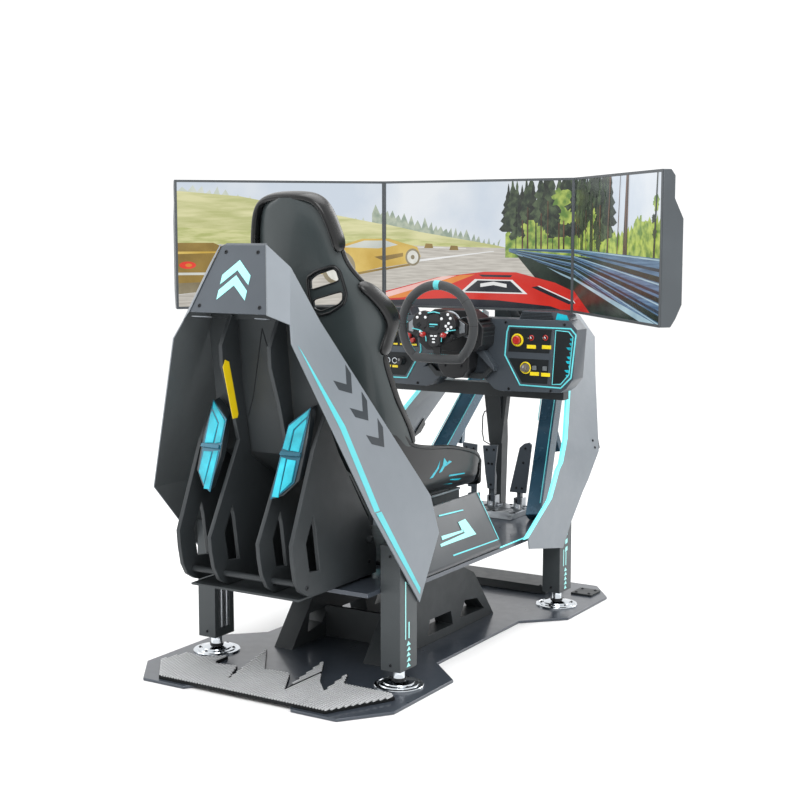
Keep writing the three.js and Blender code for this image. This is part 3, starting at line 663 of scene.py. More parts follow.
def number_plate_trim():
    """The sloping plate with its return, chevrons, screws, lower lips and the rail below it."""
    up = (plate_point(0, 1) - plate_point(0, 0)).normalized()
    out = Vector((0, -up.z, up.y))
    outline = [(0.129, 0.0), (0.128, 0.004), (0.074, 0.184), (0.066, 0.1875)]
    outline += [(-x, v) for x, v in outline[::-1]]
    points = [plate_point(x, v, 0.0002) for x, v in outline]
    slab("number_plate_finish", points, out * -0.004, PLATE, bevel=0.001, nodes=["number_plate"])
    rail = [Vector((x, -0.788, z)) for x, z in ((-0.160, 1.008), (0.160, 1.008), (0.152, 1.034),
                                                (-0.152, 1.034))]
    slab("rear_cross_rail", rail, (0, 0.012, 0), FRAME, bevel=0.002)
    back = [plate_point(x, 0.1875, 0.0002) for x in (-0.066, 0.066)]
    back += [p + Vector((0, 0.014, 0.005)) for p in back[::-1]]
    slab("plate_top_return", back, (0, 0, -0.003), PLATE, bevel=0.0006)
    for k, v in enumerate((0.052, 0.094)):
        chevron = [
            (0.000, v + 0.052), (0.046, v + 0.010), (0.046, v - 0.016), (0.000, v + 0.024),
            (-0.046, v - 0.016), (-0.046, v + 0.010),
        ]
        slab(f"plate_chevron_{k}", [plate_point(x, w, 0.0012) for x, w in chevron], -out * 0.0011, AQUA_PALE)
    for x, v in ((0.098, 0.018), (-0.098, 0.018), (0.052, 0.168), (-0.052, 0.168)):
        screw(f"plate_screw_{'r' if x > 0 else 'l'}_{int(v * 1000)}", plate_point(x, v, 0), out, "platform",
              0.0055)
    for side in (1, -1):
        lip = [Vector((side * x, y, z)) for x, y, z in (
            (0.078, -0.900, 1.0215), (0.121, -0.908, 1.0215), (0.121, -0.892, 1.019), (0.074, -0.884, 1.019))]
        slab(f"plate_lip_{side}", lip, (0, 0, -0.002), PANEL)


section("plate")
number_plate_trim()


def sill_x(z):
    return 0.250 + (0.451 - z) * 80 / 147


def sill_graphics():
    """A generic arrow on each side sill, and thin glowing lines along its edges that are painted highlights.
    """
    shapes = {
        "arrow": [(-0.199, 0.390), (-0.155, 0.392), (-0.133, 0.345), (-0.341, 0.346), (-0.339, 0.353),
                  (-0.188, 0.358), (-0.199, 0.365)],
        "arrow_line": [(-0.320, 0.361), (-0.316, 0.371), (-0.192, 0.367), (-0.190, 0.362)],
    }
    thin = {
        "top_line": [(-0.282, 0.4235), (-0.282, 0.4195), (-0.144, 0.4145), (-0.144, 0.4175)],
        "end_line": [(-0.0250, 0.448), (-0.0215, 0.448), (-0.0215, 0.310), (-0.0250, 0.310)],
        "low_line": [(-0.300, 0.3165), (-0.300, 0.3130), (-0.030, 0.3100), (-0.030, 0.3125)],
    }
    for name, outline in shapes.items():
        sticker("sill_" + name, outline, sill_x, AQUA_PALE, lift=0.0010)
    # Painted highlights: the thin glowing lines where light catches the sill's edges.
    for name, outline in thin.items():
        sticker("sill_" + name, outline, sill_x, GLOW_AND_EDGE_HIGHLIGHT, lift=0.0010)


section("sill")
sill_graphics()


def leg_trim(prefix, y, top):
    """Generic bars and triangles down the outer face, and the aluminium guide seen in the window."""
    outer = 0.348
    for side in (1, -1):
        name = f"{prefix}_{hand(side)}"

        def patch(tag, outline, material=AQUA):
            points = [(side * (outer + 0.0006), y + a, z) for a, z in outline]
            slab(f"{name}_{tag}", points, (-side * 0.0005, 0, 0), material)

        for k in range(3):
            z = top - 0.110 + 0.026 * k
            patch(f"bar_{k}", [(-0.004, z), (0.012, z + 0.004), (0.012, z + 0.018), (-0.004, z + 0.014)],
                  AQUA_PALE)
        patch("line", [(-0.018, 0.145), (-0.014, 0.145), (-0.014, top - 0.10), (-0.018, top - 0.10)],
              AQUA_PALE)
        patch("foot_line", [(-0.001, 0.145), (0.004, 0.145), (0.004, 0.190), (-0.001, 0.190)], AQUA_PALE)
        for k in range(5):
            z = 0.066 + 0.015 * k
            turn = 1 if k % 2 else -1
            patch(f"tri_{k}", [(-0.010, z), (0.010, z), (0.002 * turn, z + 0.012)], AQUA_PALE)
        guide = [(0.0, 0.0), (0.009, 0.0), (0.009, 0.006), (0.015, 0.006), (0.015, 0.0), (0.024, 0.0)]
        guide = [(a - 0.012, b) for a, b in guide] + [(0.012, 0.012), (-0.012, 0.012)]
        for row in (-1, 1):
            points = [(side * (0.2875 + b * 0.4), y + row * 0.0118 + a * 0.9, 0.070) for a, b in guide]
            slab(f"{name}_guide_{row}", points, (0, 0, min(0.25, top - 0.1)), ALUMINIUM)
        for z in (0.075, top - 0.03):
            screw(f"{name}_screw_{int(z * 1000)}", Vector((side * 0.317, y - 0.044, z)), (0, -1, 0),
                  "platform", 0.004)


section("leg")
leg_trim("leg_rear", -0.585, 0.405)
leg_trim("leg_front", 0.411, 0.300)


def fin_trim():
    """A yellow strip inside the left middle fin, tie tubes between all four, and seams on the panel."""
    strip = [(-0.842, 0.884), (-0.832, 0.902), (-0.816, 0.896), (-0.779, 0.752), (-0.783, 0.741),
             (-0.803, 0.741)]
    points = [(-0.0738, y, z) for y, z in strip]
    slab("yellow_strip", points, (0.0015, 0, 0), YELLOW, bevel=0.0004)
    for side in (1, -1):
        for x in (0.086, 0.193):
            for y, z in ((-0.840, 0.318), (-0.540, 0.330)):
                spot = Vector((side * x, y, z))
                screw(f"fin_screw_{side}_{int(x * 1000)}_{int(-y * 1000)}", spot, (side, 0, 0), "platform",
                      0.006)
        boss = [(0.009, 0), (0.009, 0.012), (0.007, 0.014), (0.0002, 0.014)]
        turned(f"fin_boss_{side}", boss, Vector((side * 0.193, -0.545, 0.395)), (side, 0, 0), FRAME, steps=24)
        run = [Vector((side * x, -0.845, 0.326)) for x in (0.087, 0.180)]
        rod(f"fin_tie_outer_{side}", run, 0.0085, FRAME)
        seam = [(0.0, 0.984), (0.049, 0.796), (0.072, 0.742)]
        points = []
        for x, z in seam:
            back = -0.738 - (z - 0.760) * 0.12 if z > 0.760 else -0.714 - (z - 0.640) * 0.2
            points.append(Vector((side * x, back - 0.0006, z)))
        rod(f"rear_seam_{side}", points, 0.0014, RECESS)
    rod("fin_tie_inner", [Vector((-0.073, -0.845, 0.326)), Vector((0.073, -0.845, 0.326))], 0.0085, FRAME)


section("fin")
fin_trim()


def tail_lamp(side):
    """Four lit segments proud of the dark housing, with a raised band between the upper and lower pairs."""
    out = Vector((0.06, -0.925, 0.375)).normalized()
    segments = {
        "upper_inner": (LAMP_AND_PAINTED_GLOW, 0.003, [
            (172, -773, 778), (112, -793, 731), (109, -817, 675), (130, -818, 671), (131, -796, 725),
            (170, -780, 760)]),
        "upper_outer": (LAMP_AND_PAINTED_GLOW, 0.003, [
            (169, -783, 754), (137, -796, 723), (137, -818, 672), (168, -818, 670), (172, -787, 745)]),
        "lower_inner": (LAMP_AND_PAINTED_GLOW, 0.003, [(110, -825, 654), (109, -866, 555), (131, -866, 555),
                                      (127, -826, 652)]),
        "lower_outer": (LAMP_AND_PAINTED_GLOW, 0.003, [(134, -827, 650), (135, -861, 567), (165, -848, 596),
                                      (164, -827, 649)]),
        "band": (LAMP_BAND, 0.008, [(107, -820, 668), (176, -818, 669), (178, -822, 659), (105, -824, 658)]),
        "bed": (LAMP_BAND, 0.001, [
            (176, -772, 784), (108, -790, 736), (104, -818, 671), (104, -870, 548), (134, -863, 562),
            (172, -845, 594), (177, -815, 677)]),
    }
    for tag, (material, lift, outline) in segments.items():
        points = []
        for x, y, z in outline:
            p = Vector((104 + (x - 109) * 0.88, y, z)) * MM + out * (lift + 0.001)
            points.append(Vector((side * p.x, p.y, p.z)))
        push = out * -(lift + 0.002)
        slab(f"lamp_{tag}_{side}", points, Vector((side * push.x, push.y, push.z)), material, bevel=0.0009)


section("lamp")
tail_lamp(1)
tail_lamp(-1)


def front_trim():
    """Brackets and painted edge highlights round the front bars, the blades and the deck."""
    for side in (1, -1):
        knee = [(0.640, 0.560), (0.600, 0.488), (0.655, 0.505), (0.668, 0.535)]
        points = [(side * (blade_x(z) - 0.0045), y, z) for y, z in knee]
        slab(f"knee_bracket_{side}", points, (-side * 0.004, 0, 0), FRAME, bevel=0.0008)
        for y, z in ((0.640, 0.535), (0.638, 0.512)):
            spot = Vector((side * (blade_x(z) + 0.0), y - 0.030, z))
            screw(f"knee_bolt_{side}_{int(z * 1000)}", spot, (side, 0, 0), "platform", 0.005)
        gusset = [(0.355, 0.3015), (0.455, 0.3015), (0.455, 0.309), (0.320, 0.309)]
        points = [(side * 0.300, y, z) for y, z in gusset]
        slab(f"leg_gusset_{side}", points, (side * 0.040, 0, 0), FRAME, bevel=0.001)
        foot, head = Vector((0.238, 0.409, 0.300)), Vector((0.106, 0.872, 0.893))
        along = (head - foot).normalized()
        face = Vector((0, -1, 0)) - along * along.dot(Vector((0, -1, 0)))
        face.normalize()
        sideways = along.cross(face)
        # Two glowing lines down each bar's front corners: painted edge highlights.
        for tag, shift in (("a", 0.0276), ("b", -0.0276)):
            start = 0.36 if side > 0 and tag == "b" else 0.03  # clear of the pressed throttle
            run = [foot + along * d + face * 0.0276 + sideways * shift * 0.98 for d in (start, 0.68)]
            rod(f"bar_glow_{tag}_{side}", [Vector((side * p.x, p.y, p.z)) for p in run], 0.0016, GLOW_AND_EDGE_HIGHLIGHT)
    wire = [
        (-0.040, 0.591, 0.614), (-0.058, 0.596, 0.608), (-0.067, 0.600, 0.590), (-0.069, 0.600, 0.535),
        (-0.062, 0.600, 0.503), (-0.036, 0.594, 0.494),
    ]
    rod("column_wire", [Vector(p) for p in wire], 0.0022, PLASTIC)
    # Glowing rods along the deck's edges: painted highlights in the LED_AND_EDGE_HIGHLIGHT strips' finish.
    rail = [Vector((0.327, y, 0.2835)) for y in (-0.015, 0.235)]
    rod("deck_glow_right", rail, 0.0022, LED_AND_EDGE_HIGHLIGHT)
    rod("deck_glow_left", mirrored(rail), 0.0022, LED_AND_EDGE_HIGHLIGHT)
    for side in (1, -1):
        for k, y in enumerate((0.520, 0.640)):
            screw(f"rail_bolt_{side}_{k}", Vector((side * 0.205, y, 0.0338)), (0, 0, 1), "base", 0.006)
        plate = [Vector((side * x, y, 0.0083))
                 for x, y in ((0.300, 0.560), (0.375, 0.560), (0.375, 0.640), (0.300, 0.640))]
        slab(f"corner_plate_{side}", plate, (0, 0, 0.006), FRAME, "base", bevel=0.001)
        for dx, dy in ((0.014, 0.014), (0.061, 0.014), (0.061, 0.066), (0.014, 0.066)):
            spot = Vector((side * (0.300 + dx), 0.560 + dy, 0.0143))
            screw(f"corner_bolt_{side}_{int(dx * 1000)}_{int(dy * 1000)}", spot, (0, 0, 1), "base", 0.0055)


section("front")
front_trim()


# ---- dash ----
def dash_patch(name, outline, material, lift=0.0012, bevel=0.0):
    """A flat patch on the dash's face, in millimetres."""
    points = [Vector((x * MM, DASH_Y - lift, z * MM)) for x, z in outline]
    return slab(name, points, (0, lift + 0.0005, 0), material, bevel=bevel)


def oblong(x, z, half_width, half_height):
    corners = ((-1, -1), (1, -1), (1, 1), (-1, 1))
    return [(x + a * half_width, z + b * half_height) for a, b in corners]


def flip(outline, side):
    return [(side * x, z) for x, z in outline]


def knob(name, x, z, radius, height, material, lift=0.0):
    """A small fixed knob on the dash's face, in millimetres."""
    profile = [
        (radius, 0), (radius, height * 0.25), (radius * 0.9, height * 0.35), (radius * 0.86, height * 0.9),
        (radius * 0.75, height), (0.0003, height),
    ]
    centre = Vector((x * MM, DASH_Y - lift, z * MM))
    return turned(name, [(r * MM, h * MM) for r, h in profile], centre, (0, -1, 0), material, steps=32)


def washer(name, x, z, outer, inner, height, material):
    """A ring on the dash's face, in millimetres."""
    profile = [(inner, 0), (outer, 0), (outer, height * 0.7), (outer - 0.8, height), (inner + 0.8, height),
               (inner, 0.6)]
    rows = [
        [Vector(((x + r * math.cos(a)) * MM, DASH_Y - 0.0012 - h * MM, (z + r * math.sin(a)) * MM))
         for r, h in profile]
        for a in round_angles(40) + [2 * math.pi]]
    return made(name, *grid(rows, closed=True), material)


def dash():
    """Outlines, recesses, lights and screws on both halves of the dash."""
    inset = [(173, 933), (393, 932), (411, 913), (396, 776), (361, 741), (215, 743), (159, 838), (166, 913)]
    upper = [(178, 926), (326, 926), (318, 850), (171, 850)]
    lower = [(173, 829), (317, 829), (312, 751), (222, 751)]
    recess = [(341, 925), (386, 922), (401, 905), (389, 786), (360, 753), (330, 751)]
    divider = [(330, 929), (336, 929), (325, 748), (319, 748)]
    for side in (1, -1):
        tag = hand(side)
        outline = [Vector((side * x * MM, DASH_Y - 0.0012, z * MM)) for x, z in inset]
        rod(f"dash_outline_{tag}", outline, 0.0026, GLOW_AND_EDGE_HIGHLIGHT, closed=True)
        inner = [Vector((side * x * MM, DASH_Y - 0.001, z * MM)) for x, z in recess]
        rod(f"dash_recess_outline_{tag}", inner, 0.0018, GLOW_AND_EDGE_HIGHLIGHT, closed=True)
        for name, shape in (("upper", upper), ("lower", lower), ("recess", recess)):
            dash_patch(f"dash_{name}_{tag}", flip(shape, side), RECESS, 0.0009)
        dash_patch(f"dash_divider_{tag}", flip(divider, side), PLATE, 0.0022, 0.0005)
        for k in range(9):
            z = 776 + 14.5 * k
            reach = 12 + 7 * math.sin(2.3 * k)
            right = 390 + (z - 786) * 0.092
            shape = [(right - 3, z), (right - 2, z + 10), (right - reach, z + 9),
                     (right - reach * 0.7, z + 2)]
            dash_patch(f"dash_flare_{tag}_{k}", flip(shape, side), LAMP_AND_PAINTED_GLOW, 0.0016)
        for k in range(5):
            z = 957.5 + 4.6 * k
            shape = [(208 + k * 1.5, z), (326 - k * 1.5, z), (326 - k * 1.5, z + 2.2),
                     (208 + k * 1.5, z + 2.2)]
            points = [(side * x * MM, DASH_Y + 0.0118, zz * MM) for x, zz in shape]
            slab(f"vent_{tag}_{k}", points, (0, -0.0012, 0), RECESS)
        block = [(334, 958), (381, 957), (373, 973), (340, 979)]
        points = [(side * x * MM, DASH_Y + 0.0118, z * MM) for x, z in block]
        slab(f"hood_light_{tag}", points, (0, -0.0016, 0), LAMP_AND_PAINTED_GLOW, bevel=0.0003)
        for k, (x, z) in enumerate(((173, 728), (325, 730), (161, 945), (370, 944), (60, 945), (64, 768))):
            spot = Vector((side * x * MM, DASH_Y, z * MM))
            screw(f"dash_screw_{tag}_{k}", spot, (0, -1, 0), "platform", 0.0048)


def dash_controls():
    """Collars, labels, keys and small knobs that the CAD has no nodes for."""
    washer("stop_collar", 205, 889, 21, 14.6, 4, LABEL_PAINTED_GLOW)
    washer("knob_collar", 235, 800, 19.5, 15.4, 3, LABEL_PAINTED_GLOW)
    for k, (x, z) in enumerate(((255, 869), (309, 870), (267, 782), (307, 781))):
        dash_patch(f"label_right_{k}", oblong(x, z, 16, 6), LABEL_PAINTED_GLOW, 0.0024, 0.0005)
    for k, (x, z) in enumerate(((255, 898), (305, 900))):
        washer(f"toggle_nut_{k}", x, z, 9, 5.6, 2.5, RED)
    for k, x in enumerate((267, 304)):
        dash_patch(f"key_right_{k}", oblong(x, 801, 7, 7), KEY_GREY, 0.006, 0.0012)
    spots = ((-232, 905), (-270, 905), (-308, 905), (-190, 872), (-228, 872), (-266, 872), (-304, 872))
    for k, (x, z) in enumerate(spots):
        knob(f"left_dial_{k}", x, z, 9, 11, RED if k % 3 == 0 else PLASTIC, lift=0.001)
        dash_patch(f"label_left_{k}", oblong(x, z - 15, 14, 3), LABEL_PAINTED_GLOW, 0.0022, 0.0005)
    for k, x in enumerate((-262, -290, -316)):
        washer(f"left_ring_{k}", x, 800, 11, 7, 4, CHROME)
        dash_patch(f"label_low_{k}", oblong(x, 780, 11, 4), LABEL_PAINTED_GLOW, 0.0022, 0.0005)


def dash_vent():
    """The ribbed outlet standing on top of the dash."""
    outline = [(0.196, 0.951), (0.322, 0.951), (0.303, 0.978), (0.212, 0.978)]
    slab("dash_vent", [Vector((x, 0.352, z)) for x, z in outline], (0, 0.040, 0), PLATE, bevel=0.002)
    for k in range(5):
        z = 0.956 + 0.0043 * k
        cut = 0.62 * (z - 0.951)
        bar = [(0.204 + cut, z), (0.314 - cut, z), (0.313 - cut, z + 0.0018), (0.205 + cut, z + 0.0018)]
        slab(f"dash_vent_rib_{k}", [Vector((x, 0.3512, zz)) for x, zz in bar], (0, 0.002, 0), RECESS)


section("dash")
dash_vent()
dash()
dash_controls()


def press_button(node, material, crown):
    """A domed cap on its stem, in place of the CAD button."""
    low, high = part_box(node)
    radius = (high.x - low.x) / 2
    depth = high.y - low.y
    centre = Vector(((low.x + high.x) / 2, high.y, (low.z + high.z) / 2))
    profile = [
        (0.0078, 0), (0.0078, depth - 0.0090), (radius, depth - 0.0088), (radius, depth - 0.0030),
        (radius * 0.86, depth - 0.0006), (radius * crown, depth - 0.0001),
        (radius * crown * 0.9, depth - 0.0016), (0.0003, depth - 0.0012),
    ]
    turned(node + "_finish", profile, centre, (0, -1, 0), material, body_of(node), steps=48, nodes=[node])


def turn_knob(node, material):
    """A ribbed rotary knob with a raised finger bar and a pointer line."""
    low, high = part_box(node)
    radius = (high.x - low.x) / 2
    centre = Vector(((low.x + high.x) / 2, high.y, (low.z + high.z) / 2))
    depth = high.y - low.y
    rows = []
    for r, h in ((radius * 0.97, 0), (radius * 0.97, 0.006), (radius * 0.80, 0.009),
                 (radius * 0.74, depth - 0.001),
                 (radius * 0.60, depth), (0.0004, depth)):
        ring = []
        for k, a in enumerate(round_angles(64)):
            flute = 1 - (0.05 if k % 4 < 2 else 0.0) * (0.002 < r < radius and h > 0.001)
            ring.append(centre + Vector((r * flute * math.cos(a), -h, r * flute * math.sin(a))))
        rows.append(ring)
    verts, faces = grid(rows, closed=True)
    faces.append(tuple(range(64)))
    made(node + "_finish", verts, faces, material, body_of(node), nodes=[node])
    pointer = [centre + Vector((x, -depth - 0.0002, z)) for x, z in
               ((-0.0009, 0.001), (0.0009, 0.001), (0.0009, radius * 0.58), (-0.0009, radius * 0.58))]
    slab(node + "_pointer", pointer, (0, 0.001, 0), WHITE, body_of(node))


section("controls")
press_button("stop_button", RED, 0.62)
press_button("left_dash_button", RED, 0.5)
turn_knob("right_dash_knob", KNOB_GREY)
turn_knob("left_dash_knob", PLASTIC)
turn_knob("hub_knob_right", RED)
turn_knob("hub_knob_left", RED)


def toggle(node):
    """A chrome lever with a ball foot, in place of a CAD switch."""
    low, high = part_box(node)
    centre = Vector(((low.x + high.x) / 2, high.y - 0.005, (low.z + high.z) / 2))
    profile = [
        (0.0012, -0.0048), (0.0042, -0.0028), (0.0048, 0), (0.0040, 0.0030), (0.0024, 0.0044),
        (0.0022, 0.009), (0.0030, 0.016), (0.0031, 0.0185), (0.0022, 0.0199), (0.0002, 0.0200),
    ]
    turned(node + "_finish", profile, centre, (0, -1, 0), CHROME, body_of(node), steps=28, nodes=[node])


toggle("toggle_switch_1")
toggle("toggle_switch_2")


def along(points, step):
    """Evenly spaced (place, direction) pairs on a run of points."""
    spots, carry = [], 0.0
    for a, b in zip(points, points[1:]):
        a, b = Vector(a), Vector(b)
        run = (b - a).length
        if run < 1e-9:
            continue
        d = carry
        while d < run:
            spots.append((a.lerp(b, d / run), (b - a) / run))
            d += step
        carry = d - run
    return spots


def stitches(name, points, out, material, body, length=0.0055, pitch=0.009, radius=0.0007):
    """A row of separate stitches; out is the direction they stand proud, or a function of the place."""
    verts, faces = [], []
    for spot, way in along(points, pitch):
        lift = Vector(out(spot) if callable(out) else out).normalized()
        across = way.cross(lift).normalized()
        start = len(verts)
        for end, height in ((-0.5, 0.0), (-0.25, radius), (0.25, radius), (0.5, 0.0)):
            middle = spot + way * (length * end) + lift * height
            for a, b in ((1, 0), (0, 1), (-1, 0), (0, -1)):
                verts.append(middle + across * (radius * a) + lift * (radius * b))
        for ring in range(3):
            for k in range(4):
                n = (k + 1) % 4
                i = start + ring * 4
                faces.append((i + k, i + n, i + 4 + n, i + 4 + k))
        faces += [tuple(range(start, start + 4)), tuple(range(start + 15, start + 11, -1))]
    mesh = bpy.data.meshes.new(name)
    mesh.from_pydata([tuple(v) for v in verts], [], faces)
    return place(mesh, name, material, body)


# ---- steering wheel ----
RIM_RADIUS = 0.132
GRIP = 0.0150


def rim_path(angle):
    """The rim's centre line, flat along the bottom; angle runs from straight down."""
    x, z = RIM_RADIUS * math.sin(angle), -RIM_RADIUS * math.cos(angle)
    flat = -0.8 * RIM_RADIUS
    if z < flat + 0.012:
        z = flat + 0.012 * math.exp((z - flat - 0.012) / 0.012) * 0.6
    return Vector((x, 0, z))


def rim_section(angle, thick):
    """One ring round the rim: a rounded grip with a thumb rest near ten and two."""
    here = rim_path(angle)
    way = (rim_path(angle + 0.01) - rim_path(angle - 0.01)).normalized()
    inward = Vector((0, 1, 0)).cross(way).normalized()
    if inward.dot(here) > 0:
        inward = -inward
    swell = math.exp(-((abs(math.degrees(angle) % 360 - 180) - 62) / 12) ** 2)
    ring = []
    for a in round_angles(20):
        r = thick * (1 + 0.10 * swell * max(0, math.cos(a)))
        ring.append(WHEEL_CENTRE + here + inward * (r * math.cos(a)) + Vector((0, r * 0.97 * math.sin(a), 0)))
    return ring


def steering_rim():
    """The suede grip with its stitching, top marker and four seams."""
    rows = [rim_section(2 * math.pi * k / 96, GRIP * 0.985) for k in range(97)]
    made("wheel_rim_grip", *grid(rows, closed=True), SUEDE, "wheel", nodes=["wheel_rim"])
    rows = [rim_section(math.pi - 0.075 + 0.15 * k / 6, GRIP * (1.0 if k in (0, 6) else 1.03))
            for k in range(7)]
    made("wheel_rim_marker", *grid(rows, closed=True), AQUA, "wheel")
    inner = []
    for k in range(181):
        angle = 2 * math.pi * k / 180
        here = rim_path(angle)
        inner.append(WHEEL_CENTRE + here * (1 - GRIP * 0.985 / here.length))
    stitches("wheel_rim_stitching", inner, lambda p: WHEEL_CENTRE - p, THREAD, "wheel", 0.005, 0.0075, 0.0007)
    for k, degrees in enumerate((92, 268, 128, 232)):
        angle = math.radians(degrees)
        rows = [rim_section(angle - 0.006 + 0.012 * i / 2, GRIP * (0.985 if i != 1 else 1.012))
                for i in range(3)]
        made(f"wheel_rim_seam_{k}", *grid(rows, closed=True), LEATHER, "wheel")


section("rim")
steering_rim()


def hub_slab(name, outline, front, back, material, bevel=0.001):
    """A plate on the wheel's hub, given in millimetres from the wheel's centre."""
    points = [WHEEL_CENTRE + Vector((x * MM, -front * MM, z * MM)) for x, z in outline]
    return slab(name, points, (0, (front - back) * MM, 0), material, "wheel", bevel=bevel)


def hub_dot(name, x, z, radius, material, front, height=3.5):
    """A round cap on the hub, in millimetres from the wheel's centre."""
    profile = [(radius, 0), (radius, height * 0.6), (radius * 0.8, height * 0.9), (radius * 0.4, height),
               (0.0003, height)]
    centre = WHEEL_CENTRE + Vector((x * MM, -front * MM, z * MM))
    turned(name, [(r * MM if r > 0.01 else 0.0003, h * MM) for r, h in profile], centre, (0, -1, 0), material,
           "wheel", steps=20)


def steering_hub():
    """The wheel's centre: pods, spokes, buttons, keys, a small display and its lights."""
    refined("wheel_hub", PLASTIC, 0.0025)
    pod = [(20, 46), (40, 50), (66, 42), (78, 24), (80, 4), (72, -10), (52, -8), (34, -12), (24, 2)]
    for side in (1, -1):
        tag = hand(side)
        hub_slab(f"hub_pod_{tag}", flip(pod, side), 25.5, 6, PLASTIC, 0.003)
        ring = [WHEEL_CENTRE + Vector((side * x * MM, -0.0247, z * MM)) for x, z in (
            (80, -8), (68, -10), (54, -12), (42, -18), (34, -26), (29, -36), (28, -48))]
        rod(f"hub_outline_{tag}", ring, 0.0016, GLOW_AND_EDGE_HIGHLIGHT, "wheel")
        shield = [(104, 10), (84, 22), (82, -2), (86, -22), (104, -18)]
        hub_slab(f"hub_spoke_{tag}", flip(shield, side), 9, -3, STEEL, 0.0015)
    spots = [(-60, 28), (-50, 41), (-30, 29), (30, 26), (62, 28), (53, 40), (46, 3), (65, 0), (53, -7),
             (56, 12)]
    for k, (x, z) in enumerate(spots):
        hub_dot(f"hub_button_{k}", x, z, 4.6, WHITE, 25.4)
    for k, (x, z) in enumerate(((-7, -30), (7, -30), (0, -40), (0, -50))):
        hub_slab(f"hub_key_{k}", oblong(x, z, 5, 2.6), 27, 22, WHITE, 0.0008)
    hub_slab("hub_lower", [(-22, -18), (22, -18), (20, -58), (10, -66), (-10, -66), (-20, -58)], 24.6, 3,
             PLASTIC, 0.003)
    hub_slab("hub_display", [(-20, 16), (20, 16), (20, -2), (12, -12), (-12, -12), (-20, -2)], 26, 23, RECESS,
             0.0008)
    hub_slab("hub_display_line", [(-15, 9), (15, 9), (15, 5), (-15, 5)], 26.3, 25, GLOW_AND_EDGE_HIGHLIGHT, 0)
    hub_slab("hub_display_mark", [(-15, 1), (4, 1), (4, -1), (-15, -1)], 26.3, 25, THREAD, 0)
    arc = [WHEEL_CENTRE + Vector((x * MM, -0.0235, (47 - abs(x) * 0.16) * MM)) for x in (-26, -14, 0, 14, 26)]
    rod("hub_light_arc", arc, 0.0018, GLOW_AND_EDGE_HIGHLIGHT, "wheel")
    for dx, dz, tag in ((5, 0, "a"), (-5, 0, "b"), (0, 5, "c"), (0, -5, "d")):
        hub_slab(f"hub_cross_{tag}", oblong(dx - 56, dz + 4, 3, 3), 27.5, 24, RECESS, 0.0006)
    for k, (x, z) in enumerate(((-22, 36), (22, 36), (-34, -4), (34, -4), (-18, -22), (18, -22))):
        spot = WHEEL_CENTRE + Vector((x * MM, -0.0242, z * MM))
        screw(f"hub_screw_{k}", spot, (0, -1, 0), "wheel", 0.0026)
    for side in (1, -1):
        hub_dot(f"hub_dial_{side}", side * 62, -30, 8.5, PLASTIC, 6, 12)
        hub_dot(f"hub_spot_{side}", side * 50, -18, 3.6, WHITE, 25.4, 2.5)


section("hub")
steering_hub()


def servo_housing():
    """The motor housing behind the wheel, with cooling ribs down its sides and a bracket below; the dark
    brace under it is partly painted shadow of the wheel.
    """
    refined("wheel_base", PLASTIC, 0.003)
    for side in (1, -1):
        for k in range(7):
            z = 0.868 + 0.0142 * k
            reach = 0.1225 - 0.012 * abs(k - 3.2) / 3.2
            rib = [(0.086, z), (reach, z), (reach + 0.004, z + 0.006), (0.086, z + 0.006)]
            points = [(side * x, 0.249, zz) for x, zz in rib]
            slab(f"servo_rib_{side}_{k}", points, (0, 0.072, 0), FRAME, bevel=0.0008)
        cheek = [(0.096, 0.852), (0.134, 0.800), (0.134, 0.786), (0.058, 0.852)]
        points = [(side * x, 0.300, z) for x, z in cheek]
        slab(f"servo_bracket_{side}", points, (0, 0.029, 0), PLATE, bevel=0.001)
        for x, z in ((0.085, 0.955), (0.098, 0.885), (0.030, 0.800)):
            screw(f"servo_screw_{side}_{int(z * 1000)}", Vector((side * x, 0.246 if z > 0.85 else 0.268, z)),
                  (0, -1, 0), "platform", 0.0045)
    ring = [(0.046, 0), (0.046, 0.005), (0.043, 0.008), (0.034, 0.009), (0.030, 0.006), (0.028, 0)]
    turned("servo_collar", ring, Vector((0, 0.2465, WHEEL_CENTRE.z)), (0, -1, 0), STEEL, steps=64)
    # The dark brace under the wheel stands for the wheel base's underside and for the wheel's shadow on the
    # dash: partly painted shadow.
    brace_and_shadow = [(-0.092, 0.7565), (0.092, 0.7565), (0.124, 0.790), (0.114, 0.800), (0.088, 0.776),
             (-0.088, 0.776),
             (-0.114, 0.800), (-0.124, 0.790)]
    points = [(x, 0.312, z) for x, z in brace_and_shadow]
    slab("servo_brace", points, (0, 0.017, 0), FRAME, bevel=0.0015)


section("servo")
servo_housing()


